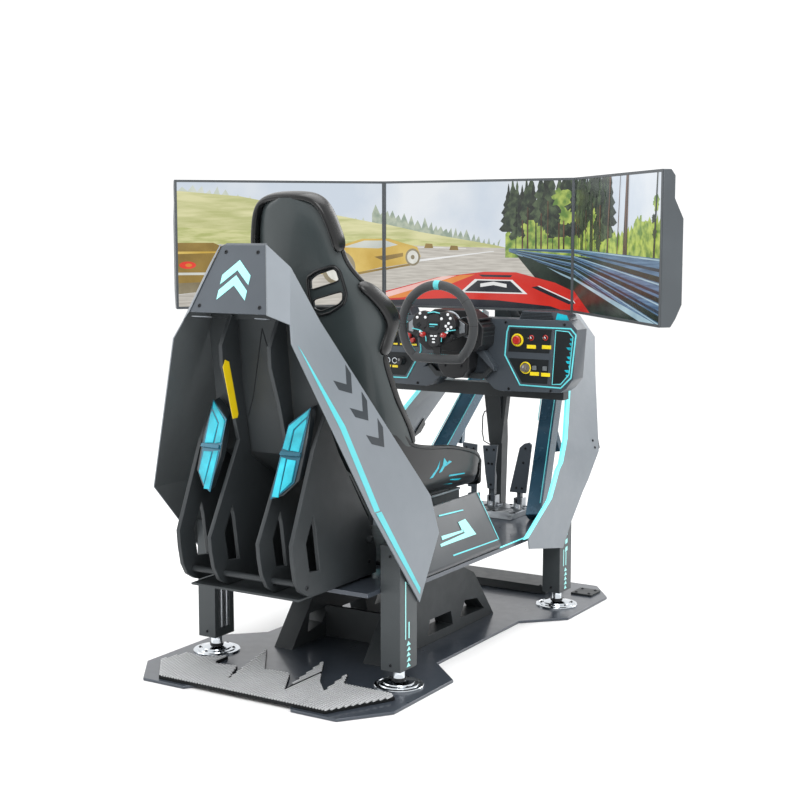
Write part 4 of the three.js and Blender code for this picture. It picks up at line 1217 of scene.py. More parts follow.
# ---- pedals ----
def pedals():
    """Footplates on their arms, with studs, hinge screws and flanges bolted to the tray."""
    lean = math.radians(5.7)
    for name, body, x, studs in (
        ("throttle_pedal", "throttle", 0.132, ((0.168, 0.512), (0.158, 0.462), (0.128, 0.372),
                                               (0.150, 0.372))),
        ("brake_pedal", "brake", 0.030, ((0.020, 0.496), (0.047, 0.498), (0.024, 0.448), (0.038, 0.448),
                                         (0.030, 0.374))),
        ("clutch_pedal", "clutch", -0.046, ((-0.060, 0.498), (-0.032, 0.496), (-0.046, 0.448),
                                            (-0.046, 0.374))),
    ):
        refined(name, PLATE, 0.001)
        out = Vector((0, -math.cos(lean), -math.sin(lean)))
        for k, (across, z) in enumerate(studs):
            spot = Vector((across, 0.492 - (z - 0.400) * math.tan(lean) - 0.0141 / math.cos(lean), z))
            screw(f"{name}_stud_{k}", spot, out, body, 0.0042)
        for side in (1, -1):
            spot = Vector((x + side * 0.0085, 0.500, 0.322))
            screw(f"{name}_pin_{side}", spot, (side, 0, 0), body, 0.0060)
            flange = [(-0.018, 0.3008), (0.018, 0.3008), (0.018, 0.3045), (-0.018, 0.3045)]
            points = [(x + side * 0.0175, 0.500 + a, z) for a, z in flange]
            slab(f"{name}_flange_{side}", points, (side * 0.010, 0, 0), STEEL, bevel=0.0006)
            foot = Vector((x + side * 0.0225, 0.511, 0.3045))
            screw(f"{name}_flange_bolt_{side}", foot, (0, 0, 1), "platform", 0.0040)
    for k, x in enumerate((-0.088, -0.008, 0.081, 0.158)):
        for y in (0.408, 0.536):
            screw(f"tray_bolt_{k}_{int(y * 1000)}", Vector((x, y, 0.300)), (0, 0, 1), "platform", 0.0055)
    for k in range(3):
        y = 0.420 + 0.022 * k
        line = [Vector((x, yy, 0.3001)) for x, yy in ((-0.07, y), (0.13, y), (0.13, y + 0.005),
                                                      (-0.07, y + 0.005))]
        slab(f"tray_groove_{k}", line, (0, 0, 0.0006), RECESS)


section("pedals")
pedals()


# ---- screens ----
SCREEN_WIDTH = SCREEN_HIGH.x - SCREEN_LOW.x + 0.0006
FOLD = math.radians(45.9)
SKY = picture("view_sky", (0.66, 0.74, 0.84), (0.86, 0.90, 0.94), 3.0)
HAZE = picture("view_haze", (0.62, 0.68, 0.58), (0.84, 0.86, 0.80), 9.0)
HILL = picture("view_hill", (0.54, 0.56, 0.24), (0.78, 0.76, 0.42), 6.0, stretch=(1, 1, 9))
MEADOW = picture("view_meadow", (0.50, 0.54, 0.20), (0.72, 0.72, 0.36), 14.0, stretch=(1, 1, 6))
BUSH = picture("view_bush", (0.12, 0.24, 0.04), (0.50, 0.62, 0.12), 36.0)
PINE = picture("view_pine", (0.010, 0.024, 0.014), (0.085, 0.125, 0.060), 42.0)
FAR_PINE = picture("view_far_pine", (0.30, 0.38, 0.30), (0.50, 0.56, 0.44), 40.0)
PINE_DEEP = picture("view_pine_deep", (0.004, 0.010, 0.007), (0.030, 0.046, 0.026), 46.0)
TRUNK = picture("view_trunk", (0.030, 0.016, 0.010), (0.170, 0.085, 0.050), 30.0, stretch=(3, 3, 0.6))
ROAD = picture("view_road", (0.50, 0.47, 0.42), (0.66, 0.63, 0.57), 12.0, stretch=(1, 1, 14))
VERGE = picture("view_verge", (0.004, 0.012, 0.008), (0.012, 0.030, 0.018), 20.0)
RAIL_BLUE = picture("view_rail", (0.050, 0.125, 0.230), (0.120, 0.235, 0.390), 9.0, stretch=(1, 1, 20))
RAIL_SHADE = picture("view_rail_shade", (0.006, 0.016, 0.030), (0.020, 0.040, 0.070), 9.0)
RAIL_EDGE = picture("view_rail_edge", (0.30, 0.46, 0.56), (0.44, 0.62, 0.70), 9.0)
BONNET = picture("view_bonnet", (0.52, 0.010, 0.006), (0.74, 0.030, 0.016), 4.0)
BONNET_SHINE = picture("view_shine", (0.90, 0.42, 0.40), (0.96, 0.62, 0.56), 8.0)
FLAME = picture("view_stripe", (0.72, 0.16, 0.02), (0.86, 0.30, 0.05), 8.0)
COCKPIT = picture("view_cockpit", (0.006, 0.008, 0.014), (0.020, 0.024, 0.036), 8.0)
GOLD = picture("view_gold", (0.62, 0.40, 0.06), (0.82, 0.60, 0.16), 7.0)
GOLD_SHADE = picture("view_gold_shade", (0.22, 0.14, 0.03), (0.36, 0.24, 0.06), 8.0)
GLASS = picture("view_glass", (0.56, 0.60, 0.56), (0.74, 0.76, 0.70), 8.0)
TYRE = picture("view_tyre", (0.24, 0.20, 0.12), (0.36, 0.31, 0.20), 12.0)
SPOKES = picture("view_spokes", (0.66, 0.66, 0.60), (0.86, 0.86, 0.80), 26.0)
TAIL = picture("view_tail", (0.76, 0.02, 0.01), (0.94, 0.08, 0.05), 8.0)
PALE = picture("view_pale", (0.80, 0.81, 0.80), (0.92, 0.92, 0.92), 6.0)


def screen_frame(index):
    """Origin, direction along and direction out of screen 0 (left), 1 (centre) or 2 (right)."""
    half, y = SCREEN_WIDTH / 2, SCREEN_LOW.y
    if index == 1:
        return Vector((-half, y, 0)), Vector((1, 0, 0)), Vector((0, -1, 0))
    side = 1 if index == 2 else -1
    run = Vector((math.cos(FOLD), -side * math.sin(FOLD), 0))
    out = Vector((-side * math.sin(FOLD), -math.cos(FOLD), 0))
    if index == 2:
        return Vector((half, y, 0)), run, out
    return Vector((-half, y, 0)) - run * SCREEN_WIDTH, run, out


def clipped(outline, low, high):
    """The part of a polygon with low <= U <= high and 0 <= V <= 1."""
    for axis, limit, keep_above in ((0, low, True), (0, high, False), (1, 0.0, True), (1, 1.0, False)):
        result = []
        for i, point in enumerate(outline):
            last = outline[i - 1]
            inside = (point[axis] >= limit) == keep_above or point[axis] == limit
            was = (last[axis] >= limit) == keep_above or last[axis] == limit
            if inside != was:
                t = (limit - last[axis]) / (point[axis] - last[axis])
                result.append((last[0] + (point[0] - last[0]) * t, last[1] + (point[1] - last[1]) * t))
            if inside:
                result.append(point)
        outline = result
        if len(outline) < 3:
            return []
    return outline


BORDER, LAYER_STEP = 0.008, 0.000022  # picture edge inside the bezel; each patch lies in front of the last
LAYERS = [0]


def paint(name, outline, material):
    """One polygon of the three-screen picture: U runs 0 to 3 across the screens, V 0 to 1 up them."""
    LAYERS[0] += 1
    lift = 0.0002 + LAYERS[0] * LAYER_STEP
    for index in range(3):
        part = clipped(outline, index, index + 1)
        if not part:
            continue
        origin, run, out = screen_frame(index)
        width, height = SCREEN_WIDTH - 2 * BORDER, SCREEN_HIGH.z - SCREEN_LOW.z - 2 * BORDER
        verts = []
        for u, v in part:
            spot = origin + run * (BORDER + (u - index) * width) + out * lift
            spot.z = SCREEN_LOW.z + BORDER + v * height
            verts.append(spot)
        mesh = bpy.data.meshes.new("view_" + name)
        mesh.from_pydata([tuple(v) for v in verts], [], [tuple(range(len(verts)))])
        mesh.update()
        if mesh.polygons[0].normal.dot(out) < 0:
            mesh.flip_normals()
        place(mesh, f"{name}_{index}", material, "platform")


def band(points, thickness):
    """A strip along a run of (U, V) points, with a thickness at each."""
    upper = [(u, v + t / 2) for (u, v), t in zip(points, thickness)]
    lower = [(u, v - t / 2) for (u, v), t in zip(points, thickness)]
    return upper + lower[::-1]


def disc(u, v, ru, rv):
    return [(u + ru * math.cos(a), v + rv * math.sin(a)) for a in round_angles(20)]


def spiky(low_u, high_u, base, top, step, depth):
    """A tree line: a jagged upper edge between two heights."""
    points, u = [(low_u, base(low_u))], low_u
    while u < high_u:
        points.append((u, top(u) - depth * random.uniform(0.5, 1.0)))
        points.append((u + step * 0.5, top(u) + depth * random.uniform(-0.2, 0.5)))
        u += step * random.uniform(0.7, 1.2)
    points += [(high_u, top(high_u)), (high_u, base(high_u))]
    return points


def tree(u, low, top, reach):
    """A pine: a jagged outline that narrows towards its top."""
    right, left = [], []
    for i in range(12):
        t = i / 12
        wide = reach * (1 - t ** 1.5) * (1.0 if i % 2 else 0.55) * random.uniform(0.75, 1.1)
        right.append((u + wide, low + (top - low) * t - (0.012 if i % 2 else 0)))
        wide = reach * (1 - t ** 1.5) * (1.0 if i % 2 else 0.55) * random.uniform(0.75, 1.1)
        left.append((u - wide, low + (top - low) * t - (0.012 if i % 2 else 0)))
    return right + [(u, top)] + left[::-1]


def foliage(u, v, size):
    """A ragged clump of leaves."""
    points = []
    for i in range(30):
        a = 2 * math.pi * i / 30
        r = size * random.uniform(0.62, 1.12)
        points.append((u + r * math.cos(a) * 0.8, v + r * math.sin(a) * 1.25))
    return points


def backdrop():
    """Sky, far trees, a grassy hillside and the road."""
    paint("sky_all", [(0, 0), (3, 0), (3, 1), (0, 1)], SKY)
    paint("far_trees", spiky(0.0, 1.5, lambda u: 0.4, lambda u: 0.97 - 0.34 * u + 0.03 * math.sin(9 * u),
                             0.05, 0.07), HAZE)
    paint("mid_trees", spiky(0.95, 1.62, lambda u: 0.3, lambda u: 0.80 - 0.42 * (u - 0.95), 0.035, 0.07),
          FAR_PINE)
    paint("hillside", [(0, 0.3), (0, 0.93), (0.3, 0.89), (0.8, 0.73), (1.2, 0.60), (1.6, 0.50), (1.75, 0.45),
                       (1.75, 0.3)], HILL)
    paint("meadow_band", [(0, 0.42), (0, 0.64), (0.5, 0.60), (1.1, 0.545), (1.7, 0.47), (1.7, 0.44)], MEADOW)
    paint("road_all", [(0, 0), (0, 0.50), (0.7, 0.505), (1.3, 0.485), (1.68, 0.475), (1.74, 0.46),
                       (1.9, 0.0)], ROAD)
    paint("road_line", band([(0.35, 0.485), (0.9, 0.485), (1.45, 0.470)], (0.008, 0.008, 0.004)), PALE)
    paint("road_kerb", band([(0.0, 0.12), (0.6, 0.25), (1.2, 0.37), (1.6, 0.45)], (0.05, 0.03, 0.018, 0.006)),
          PALE)


def forest():
    """Bushes, pines, stems, trunks and leaves on the right."""
    bush = spiky(1.66, 3.0, lambda u: 0.40, lambda u: 0.66 + 0.05 * math.sin(7 * u), 0.04, 0.05)
    paint("bushes", bush, BUSH)
    for k in range(34):
        u = 1.67 + 0.0235 * k + random.uniform(-0.008, 0.008)
        reach = 0.052 + 0.05 * (u - 1.67)
        top = 0.99 + 0.12 * min(1, (u - 1.67) * 4) + random.uniform(-0.06, 0.05)
        paint(f"pine_{k}", tree(u, 0.58 + random.uniform(-0.05, 0.08), top, reach),
              PINE if k % 3 else PINE_DEEP)
    for k, (u, v, size) in enumerate((
        (1.80, 0.60, 0.075), (1.85, 0.55, 0.055), (1.73, 0.53, 0.035), (1.95, 0.86, 0.070),
        (1.97, 0.72, 0.055), (2.20, 0.60, 0.070), (2.24, 0.72, 0.050), (2.12, 0.56, 0.050),
        (2.02, 0.54, 0.045), (2.78, 0.62, 0.080), (2.88, 0.56, 0.100), (2.70, 0.55, 0.060),
        (2.95, 0.80, 0.045), (2.50, 0.53, 0.060),
    )):
        paint(f"leaves_{k}", foliage(u, v, size), BUSH)
    for k in range(20):
        u = 1.72 + 0.030 * k + random.uniform(-0.008, 0.008)
        wide = random.uniform(0.004, 0.010)
        top = random.uniform(0.66, 0.85)
        paint(f"stem_{k}", [(u, 0.46), (u + wide, 0.46), (u + wide * 0.7, top), (u, top)],
                    TRUNK if k % 3 else PINE_DEEP)
    for k, (u, wide, top, material) in enumerate((
        (2.09, 0.026, 1.0, PINE_DEEP), (2.20, 0.036, 1.0, PINE_DEEP), (2.31, 0.022, 0.80, TRUNK),
        (2.41, 0.020, 1.0, TRUNK), (2.53, 0.012, 1.0, TRUNK), (2.60, 0.050, 1.0, TRUNK),
        (2.925, 0.022, 1.0, PINE_DEEP),
    )):
        lean = 0.03 if k > 2 else 0.01
        trunk = [(u, 0.42), (u + wide, 0.42), (u + wide * 0.6 + lean, top), (u + lean, top)]
        paint(f"trunk_{k}", trunk, material)
    for k, (u, v, size) in enumerate((
        (2.13, 0.86, 0.075), (2.27, 0.93, 0.070), (2.30, 0.62, 0.045), (2.36, 0.86, 0.045),
        (2.93, 0.70, 0.030), (2.31, 0.52, 0.050), (2.94, 0.60, 0.030),
    )):
        paint(f"dark_leaves_{k}", foliage(u, v, size), PINE_DEEP)


def guard_rail():
    """The dark verge with four folded rails that widen towards the viewer."""
    paint("verge_all", [(1.70, 0.46), (2.0, 0.42), (3.0, 0.38), (3.0, 0), (2.05, 0)], VERGE)
    for k, (top, low) in enumerate(((0.435, 0.315), (0.285, 0.185), (0.160, 0.075), (0.040, -0.030))):
        left, start = 1.68, 0.468 - 0.006 * k
        middle = 2.0
        centre = [(left, start), (middle, 0.455 - 0.052 * k), (3.0, (top + low) / 2 - 0.01 * k)]
        paint(f"rail_{k}", band(centre, (0.008, 0.030, top - low)), RAIL_BLUE)
        shade = [(left, start - 0.003), (middle, 0.450 - 0.052 * k), (3.0, (top + low) / 2 - 0.02 - 0.01 * k)]
        paint(f"rail_fold_{k}", band(shade, (0.002, 0.007, 0.022)), RAIL_SHADE)
        shine = [(left, start + 0.003), (middle, 0.467 - 0.052 * k), (3.0, top - 0.012 - 0.01 * k)]
        paint(f"rail_light_{k}", band(shine, (0.001, 0.004, 0.010)), RAIL_EDGE)
    paint("rail_foot", band([(1.72, 0.43), (2.0, 0.245), (2.95, -0.02)], (0.004, 0.016, 0.05)), RAIL_EDGE)
    paint("verge_low", [(1.72, 0.42), (1.8, 0.395), (2.0, 0.23), (2.62, 0.0), (2.2, 0), (1.9, 0.1)], VERGE)


def bonnet():
    """The red bonnet seen from the driver's place."""
    paint("bonnet_all", [
        (0.96, 0), (0.86, 0.03), (1.0, 0.11), (1.3, 0.235), (1.55, 0.285), (1.72, 0.285), (1.92, 0.21),
        (2.05, 0.12), (2.22, 0),
    ], BONNET)
    paint("bonnet_pink", [(0.90, 0.04), (1.0, 0.10), (1.32, 0.24), (1.40, 0.25), (1.15, 0.12), (1.0, 0.05)],
          BONNET_SHINE)
    paint("bonnet_stripe", [(0.98, 0.045), (1.2, 0.15), (1.42, 0.255), (1.50, 0.262), (1.30, 0.14),
                            (1.1, 0.06)], FLAME)
    paint("bonnet_scoop", [(1.52, 0.262), (1.70, 0.262), (1.69, 0.245), (1.54, 0.245)], COCKPIT)
    paint("bonnet_panel", [(1.50, 0.225), (1.70, 0.225), (1.78, 0.115), (1.42, 0.115)], PALE)
    paint("bonnet_panel_inner", [(1.515, 0.215), (1.69, 0.215), (1.755, 0.125), (1.445, 0.125)], COCKPIT)
    paint("bonnet_chevron", [(1.53, 0.19), (1.60, 0.208), (1.67, 0.19), (1.67, 0.162), (1.60, 0.18),
                             (1.53, 0.162)], PALE)
    paint("vent", [(1.80, 0.170), (1.83, 0.180), (2.02, 0.055), (1.99, 0.045)], COCKPIT)
    paint("vent_edge", [(1.83, 0.182), (1.842, 0.182), (2.03, 0.058), (2.02, 0.055)], PALE)
    paint("sill", [(1.0, 0), (1.0, 0.035), (1.35, 0.065), (1.62, 0.06), (1.9, 0.025), (1.95, 0)], COCKPIT)


def sports_cars():
    """Plain cars on the road: two far ones, a gold one, and the tail of another."""
    for k, (u, v) in enumerate(((1.22, 0.49), (1.36, 0.475))):
        paint(f"small_car_{k}", [(u, v - 0.02), (u + 0.05, v - 0.02), (u + 0.045, v + 0.015),
                                 (u + 0.008, v + 0.018)], GOLD_SHADE)
    paint("car_body", [
        (0.60, 0.25), (0.60, 0.40), (0.66, 0.46), (0.78, 0.485), (0.90, 0.545), (1.02, 0.545), (1.10, 0.51),
        (1.18, 0.48), (1.20, 0.40), (1.14, 0.345), (1.0, 0.31), (0.88, 0.265),
    ], GOLD)
    paint("car_glass", [(0.80, 0.475), (0.91, 0.53), (1.0, 0.53), (1.07, 0.495), (0.98, 0.465)], GLASS)
    paint("car_vent", [(0.96, 0.395), (1.10, 0.43), (1.10, 0.40), (1.0, 0.365)], GOLD_SHADE)
    paint("car_sill", [(0.86, 0.262), (1.0, 0.302), (1.15, 0.345), (1.14, 0.325), (1.0, 0.285),
                       (0.87, 0.245)], GOLD_SHADE)
    for k, (u, v, size) in enumerate(((0.78, 0.305, 0.085), (1.155, 0.395, 0.042))):
        paint(f"tyre_{k}", disc(u, v, size, size * 1.7), TYRE)
        paint(f"spokes_{k}", disc(u, v, size * 0.76, size * 1.3), SPOKES)
        paint(f"wheel_hub_{k}", disc(u, v, size * 0.26, size * 0.45), TYRE)
    paint("coupe_body", [(0, 0.19), (0, 0.515), (0.17, 0.515), (0.24, 0.46), (0.33, 0.40), (0.33, 0.22),
                         (0.2, 0.19)], GOLD_SHADE)
    paint("coupe_deck", [(0, 0.445), (0.22, 0.445), (0.24, 0.435), (0, 0.425)], GOLD)
    paint("coupe_lamp", disc(0.045, 0.335, 0.040, 0.030), TAIL)
    paint("coupe_lamp_core", disc(0.050, 0.335, 0.016, 0.014), FLAME)
    paint("coupe_bumper", [(0, 0.275), (0.33, 0.275), (0.33, 0.255), (0, 0.255)], GLASS)
    paint("coupe_shadow", [(0, 0.10), (0, 0.19), (0.36, 0.21), (0.38, 0.17)], TYRE)


section("picture")
backdrop()
forest()
guard_rail()
bonnet()
sports_cars()


def screen_trim():
    """Bezels round each picture, and vents and screws behind."""
    for index, node in enumerate(("monitor_left", "monitor_centre", "monitor_right")):
        refined(node, PLASTIC_GREY, 0.0025)
        origin, run, out = screen_frame(index)
        low, high = SCREEN_LOW.z, SCREEN_HIGH.z
        wide = SCREEN_WIDTH

        def bar_at(tag, a0, a1, z0, z1):
            points = [origin + run * a + Vector((0, 0, z))
                      for a, z in ((a0, z0), (a1, z0), (a1, z1), (a0, z1))]
            slab(f"bezel_{index}_{tag}", [p + out * 0.0001 for p in points], out * 0.0034, BEZEL,
                 bevel=0.0005)

        edge = BORDER
        bar_at("low", 0.0003, wide - 0.0003, low, low + edge)
        bar_at("high", 0.0003, wide - 0.0003, high - edge, high)
        bar_at("start", 0.0003, edge, low + edge, high - edge)
        bar_at("end", wide - edge, wide - 0.0003, low + edge, high - edge)
        back = 0.062
        for k in range(11):
            z = low + 0.080 + 0.0125 * k
            for a in (0.14, 0.50):
                rib = [origin + run * (a + d) - out * (back + 0.0002) + Vector((0, 0, z + h))
                       for d, h in ((0, 0), (0.09, 0), (0.09, 0.0055), (0, 0.0055))]
                slab(f"screen_vent_{index}_{k}_{int(a * 100)}", rib, -out * 0.0012, RECESS)
        for a in (0.32, 0.42):
            for h in (0.155, 0.215):
                spot = origin + run * a - out * (back + 0.0003) + Vector((0, 0, low + h - 0.13))
                screw(f"screen_screw_{index}_{int(a * 100)}_{int(h * 1000)}", spot, -out, "platform", 0.006)


section("screens")
screen_trim()


# ---- seat ----
BACK_WIDTH = [
    (0.00, 0.170), (0.12, 0.210), (0.20, 0.215), (0.28, 0.221), (0.36, 0.220), (0.43, 0.218), (0.53, 0.236),
    (0.59, 0.222), (0.64, 0.188), (0.69, 0.158), (0.73, 0.139), (0.80, 0.127), (0.85, 0.110), (0.875, 0.092),
    (0.889, 0.068), (0.895, 0.040),
]
BACK_WRAP = [
    (0.00, 0.120), (0.12, 0.120), (0.17, 0.112), (0.31, 0.047), (0.45, 0.022), (0.53, 0.070), (0.60, 0.045),
    (0.65, 0.018), (0.70, 0.006), (0.80, 0.014), (0.91, 0.012),
]
BACK_OUT = 0.033
SIDE_TOP = [
    (-0.470, 0.850), (-0.440, 0.770), (-0.340, 0.633), (-0.240, 0.612), (-0.137, 0.600), (-0.040, 0.580),
    (0.051, 0.551), (0.088, 0.522), (0.104, 0.496),
]
PAN_LOW = [(-0.470, 0.470), (-0.400, 0.460), (0.104, 0.446)]
PAN_WIDTH = [(-0.470, 0.180), (-0.400, 0.205), (-0.200, 0.218), (0.000, 0.217), (0.070, 0.208),
             (0.104, 0.192)]


def back_point(x, s, t):
    """A point of the reclined back: across, up along it, and behind (positive) or in front of its plane."""
    return SEAT_FOOT + Vector((
        x, -t * math.cos(RECLINE) - s * math.sin(RECLINE), -t * math.sin(RECLINE) + s * math.cos(RECLINE)))


def back_depth(x, s):
    """How far behind the plane the rear of the shell lies."""
    u = min(1.0, abs(x) / blend_list(BACK_WIDTH, s))
    bend = math.asin(u ** (1 / 0.9))
    return BACK_OUT - (blend_list(BACK_WRAP, s) + BACK_OUT) * (1 - math.cos(bend)) ** 1.3


def rear_place(x, z, lift=0.0):
    """The point of the shell's rear at this height, standing off by lift."""
    s = (z - SEAT_FOOT.z) / math.cos(RECLINE)
    for _ in range(4):
        t = back_depth(x, s)
        s = (z - SEAT_FOOT.z + t * math.sin(RECLINE)) / math.cos(RECLINE)
    return back_point(x, s, t + lift)


# The two harness slots, and the recess round them both, in (x, z).
SLOTS = (
    [(0.041, 1.080), (0.134, 1.107), (0.129, 1.133), (0.121, 1.141), (0.069, 1.124), (0.045, 1.109)],
    [(0.043, 1.030), (0.065, 1.022), (0.123, 1.043), (0.136, 1.056), (0.139, 1.073), (0.135, 1.079),
     (0.043, 1.054)],
)
SLOT_RECESS = [
    (0.034, 1.070), (0.036, 1.022), (0.062, 1.012), (0.095, 1.020), (0.139, 1.046), (0.149, 1.073),
    (0.137, 1.134), (0.122, 1.148), (0.070, 1.133), (0.038, 1.116),
]


CORNER_SHARE = 0.22


def softened(outline):
    """The same outline with its corners rounded."""
    points = []
    count = len(outline)
    for i in range(count):
        before, here, after = (Vector(outline[(i + k) % count]) for k in (-1, 0, 1))
        start, end = here.lerp(before, CORNER_SHARE), here.lerp(after, CORNER_SHARE)
        for t in (0.0, 0.33, 0.67, 1.0):
            points.append(tuple(start.lerp(here, t).lerp(here.lerp(end, t), t)))
    return points


def slot_outline(side, outline):
    return [(side * x, z) for x, z in softened(outline)]


def cut_through(obj, cutters):
    """Applies the piece's modifiers, then takes the cutters away from it."""
    for cutter in cutters:
        change = obj.modifiers.new("cut", "BOOLEAN")
        change.operation = "DIFFERENCE"
        change.solver = "EXACT"
        change.object = cutter
    depsgraph = bpy.context.evaluated_depsgraph_get()
    result = bpy.data.meshes.new_from_object(obj.evaluated_get(depsgraph))
    for cutter in cutters:
        bpy.data.objects.remove(cutter)
    obj.modifiers.clear()
    obj.data = result
    result.polygons.foreach_set("use_smooth", [True] * len(result.polygons))
    result.set_sharp_from_angle(angle=math.radians(40))


def cutter(outline, push):
    """A solid to be taken away by cut_through."""
    obj = bpy.data.objects.new("cutter", mesh_from("cutter", *prism(outline, push)))
    bpy.context.scene.collection.objects.link(obj)
    return obj


def thickened(name, rows, thickness, material, cutters=(), nodes=(), level=1):
    """A curved sheet of even thickness, smoothed, with holes cut through it."""
    verts, faces = grid(rows)
    mesh = bpy.data.meshes.new(name)
    mesh.from_pydata([tuple(v) for v in verts], [], faces)
    obj = place(mesh, name, material, "seat", nodes=nodes, alone=True, angle=60)
    if level:
        smooth = obj.modifiers.new("smooth", "SUBSURF")
        smooth.levels = smooth.render_levels = level
    skin = obj.modifiers.new("thickness", "SOLIDIFY")
    skin.thickness = thickness
    skin.offset = -1
    skin.use_even_offset = True
    cut_through(obj, cutters)
    return obj


def seat_back_shell():
    """The curved back with its harness slots cut through and their rims."""
    rows = []
    for i in range(61):
        s = 0.895 * i / 60
        width = blend_list(BACK_WIDTH, s)
        wrap = blend_list(BACK_WRAP, s)
        row = []
        for k in range(25):
            bend = math.radians(-90 + 7.5 * k)
            x = width * math.copysign(abs(math.sin(bend)) ** 0.9, bend)
            t = BACK_OUT - (wrap + BACK_OUT) * (1 - math.cos(bend)) ** 1.3
            row.append(back_point(x, s, t))
        rows.append(row)
    cutters = [
        cutter([(x, -0.75, z) for x, z in slot_outline(side, outline)], (0, 0.35, 0))
        for side in (1, -1) for outline in SLOTS]
    thickened("seat_back_shell", rows, 0.008, SHELL_SATIN, cutters, nodes=["seat_shell"])
    for side in (1, -1):
        tag = hand(side)
        ring = slot_outline(side, SLOT_RECESS)
        rod(f"slot_rim_{tag}", [rear_place(x, z, 0.001) for x, z in ring], 0.0045, SHELL, "seat", closed=True)
        for k, outline in enumerate(SLOTS):
            ring = slot_outline(side, outline)
            rod(f"slot_lip_{tag}_{k}", [rear_place(x, z, 0.0005) for x, z in ring], 0.0022, SHELL, "seat",
                closed=True)


def seat_pan_shell():
    """The bucket under the cushion, with a window in each side and rolled edges."""
    rows = []
    for i in range(31):
        y = -0.470 + 0.574 * i / 30
        width = blend_list(PAN_WIDTH, y)
        top, low = blend_list(SIDE_TOP, y), blend_list(PAN_LOW, y)
        row = []
        for k in range(29):
            a = math.pi * k / 28
            x = width * math.copysign(abs(math.cos(a)) ** 0.32, math.cos(a))
            z = top - (top - low) * math.sin(a) ** 0.5
            row.append(Vector((x, y, z)))
        rows.append(row)
    window = [(0.052, 0.478), (0.062, 0.470), (0.078, 0.474), (0.082, 0.486), (0.078, 0.520), (0.068, 0.528),
              (0.058, 0.524), (0.053, 0.512)]
    cutters = [cutter([(side * 0.150, y, z) for y, z in window], (side * 0.090, 0, 0)) for side in (1, -1)]
    thickened("seat_pan_shell", rows, 0.007, SHELL, cutters, level=0)
    for side in (1, -1):
        edge = [Vector((side * (blend_list(PAN_WIDTH, y) - 0.003), y, blend_list(SIDE_TOP, y))) for y in
                (-0.44 + 0.544 * k / 24 for k in range(25))]
        rod(f"pan_edge_{side}", edge, 0.0065, SHELL, "seat")
        front = [Vector((side * x, 0.104, z)) for x, z in ((0.190, 0.500), (0.189, 0.470), (0.178, 0.451),
                (0.12, 0.4475), (0.0, 0.4475))]
        rod(f"pan_front_edge_{side}", front, 0.0055, SHELL, "seat")


def runners():
    """Two rails under the pan with their slides, and the bolts that hold the side brackets."""
    for side in (1, -1):
        rail = [(-0.360, 0.4455), (0.010, 0.4455), (0.010, 0.452), (-0.360, 0.452)]
        points = [(side * 0.144, y, z) for y, z in rail]
        slab(f"rail_lower_{side}", points, (side * 0.030, 0, 0), STEEL, "seat", bevel=0.0008)
        upper = [(-0.345, 0.452), (-0.005, 0.452), (-0.005, 0.464), (-0.345, 0.466)]
        points = [(side * 0.149, y, z) for y, z in upper]
        slab(f"rail_upper_{side}", points, (side * 0.020, 0, 0), FRAME, "seat", bevel=0.0008)
        for y in (-0.31, -0.05):
            screw(f"rail_bolt_{side}_{int(-y * 100)}", Vector((side * 0.169, y, 0.459)), (side, 0, 0), "seat",
                  0.0055)


def closed_loft(name, rings, material, nodes=()):
    """A closed skin over rings of points, capped at both ends."""
    verts, faces = grid(rings, closed=True)
    width = len(rings[0])
    faces += [tuple(range(width)), tuple(range(len(verts) - 1, len(verts) - width - 1, -1))]
    obj = place(mesh_from(name, verts, faces), name, material, "seat", alone=True, angle=70, nodes=nodes)
    smooth = obj.modifiers.new("smooth", "SUBSURF")
    smooth.levels = smooth.render_levels = 1
    return obj


def squarish(value, power):
    return math.copysign(abs(value) ** power, value)


def groove(s, lines, width, depth):
    return sum(depth * math.exp(-((s - line) / width) ** 2) for line in lines)


def end_taper(s, low, high, length):
    """0 at either end and 1 in between, rounded off over a length."""
    d = min(s - low, high - s) / length
    return 1.0 if d >= 1 else math.sqrt(max(0.0, 1 - (1 - max(0.0, d)) ** 2))


def back_panel():
    """The grooved cloth panel and its stitching."""
    low, high = 0.095, 0.578
    lines = [0.145 + 0.058 * k for k in range(8)]
    rings = []
    for i in range(91):
        s = low + (high - low) * i / 90
        taper = end_taper(s, low, high, 0.022)
        half = 0.118 + 0.012 * math.sin(math.pi * (s - low) / (high - low))
        ring = []
        for a in round_angles(36):
            x = half * squarish(math.cos(a), 0.5) * (0.93 + 0.07 * taper)
            front = 0.034 + 0.012 * math.cos(x / half * math.pi / 2) - groove(s, lines, 0.0045, 0.008)
            depth = (front if math.sin(a) > 0 else 0.004) * taper
            ring.append(back_point(x, s, -0.012 - depth * squarish(math.sin(a), 0.5)))
        rings.append(ring)
    closed_loft("seat_back_cloth", rings, CLOTH, nodes=["seat_back_pad"])
    for k, line in enumerate(lines):
        for d in (-0.007, 0.007):
            run = [back_point(x, line + d, -0.0555 + 0.0115 * (abs(x) / 0.13) ** 2)
                   for x in (-0.100, -0.05, 0, 0.05, 0.100)]
            stitches(f"back_stitch_{k}", run, back_point(0, 0, -1) - back_point(0, 0, 0), THREAD_GREY, "seat")


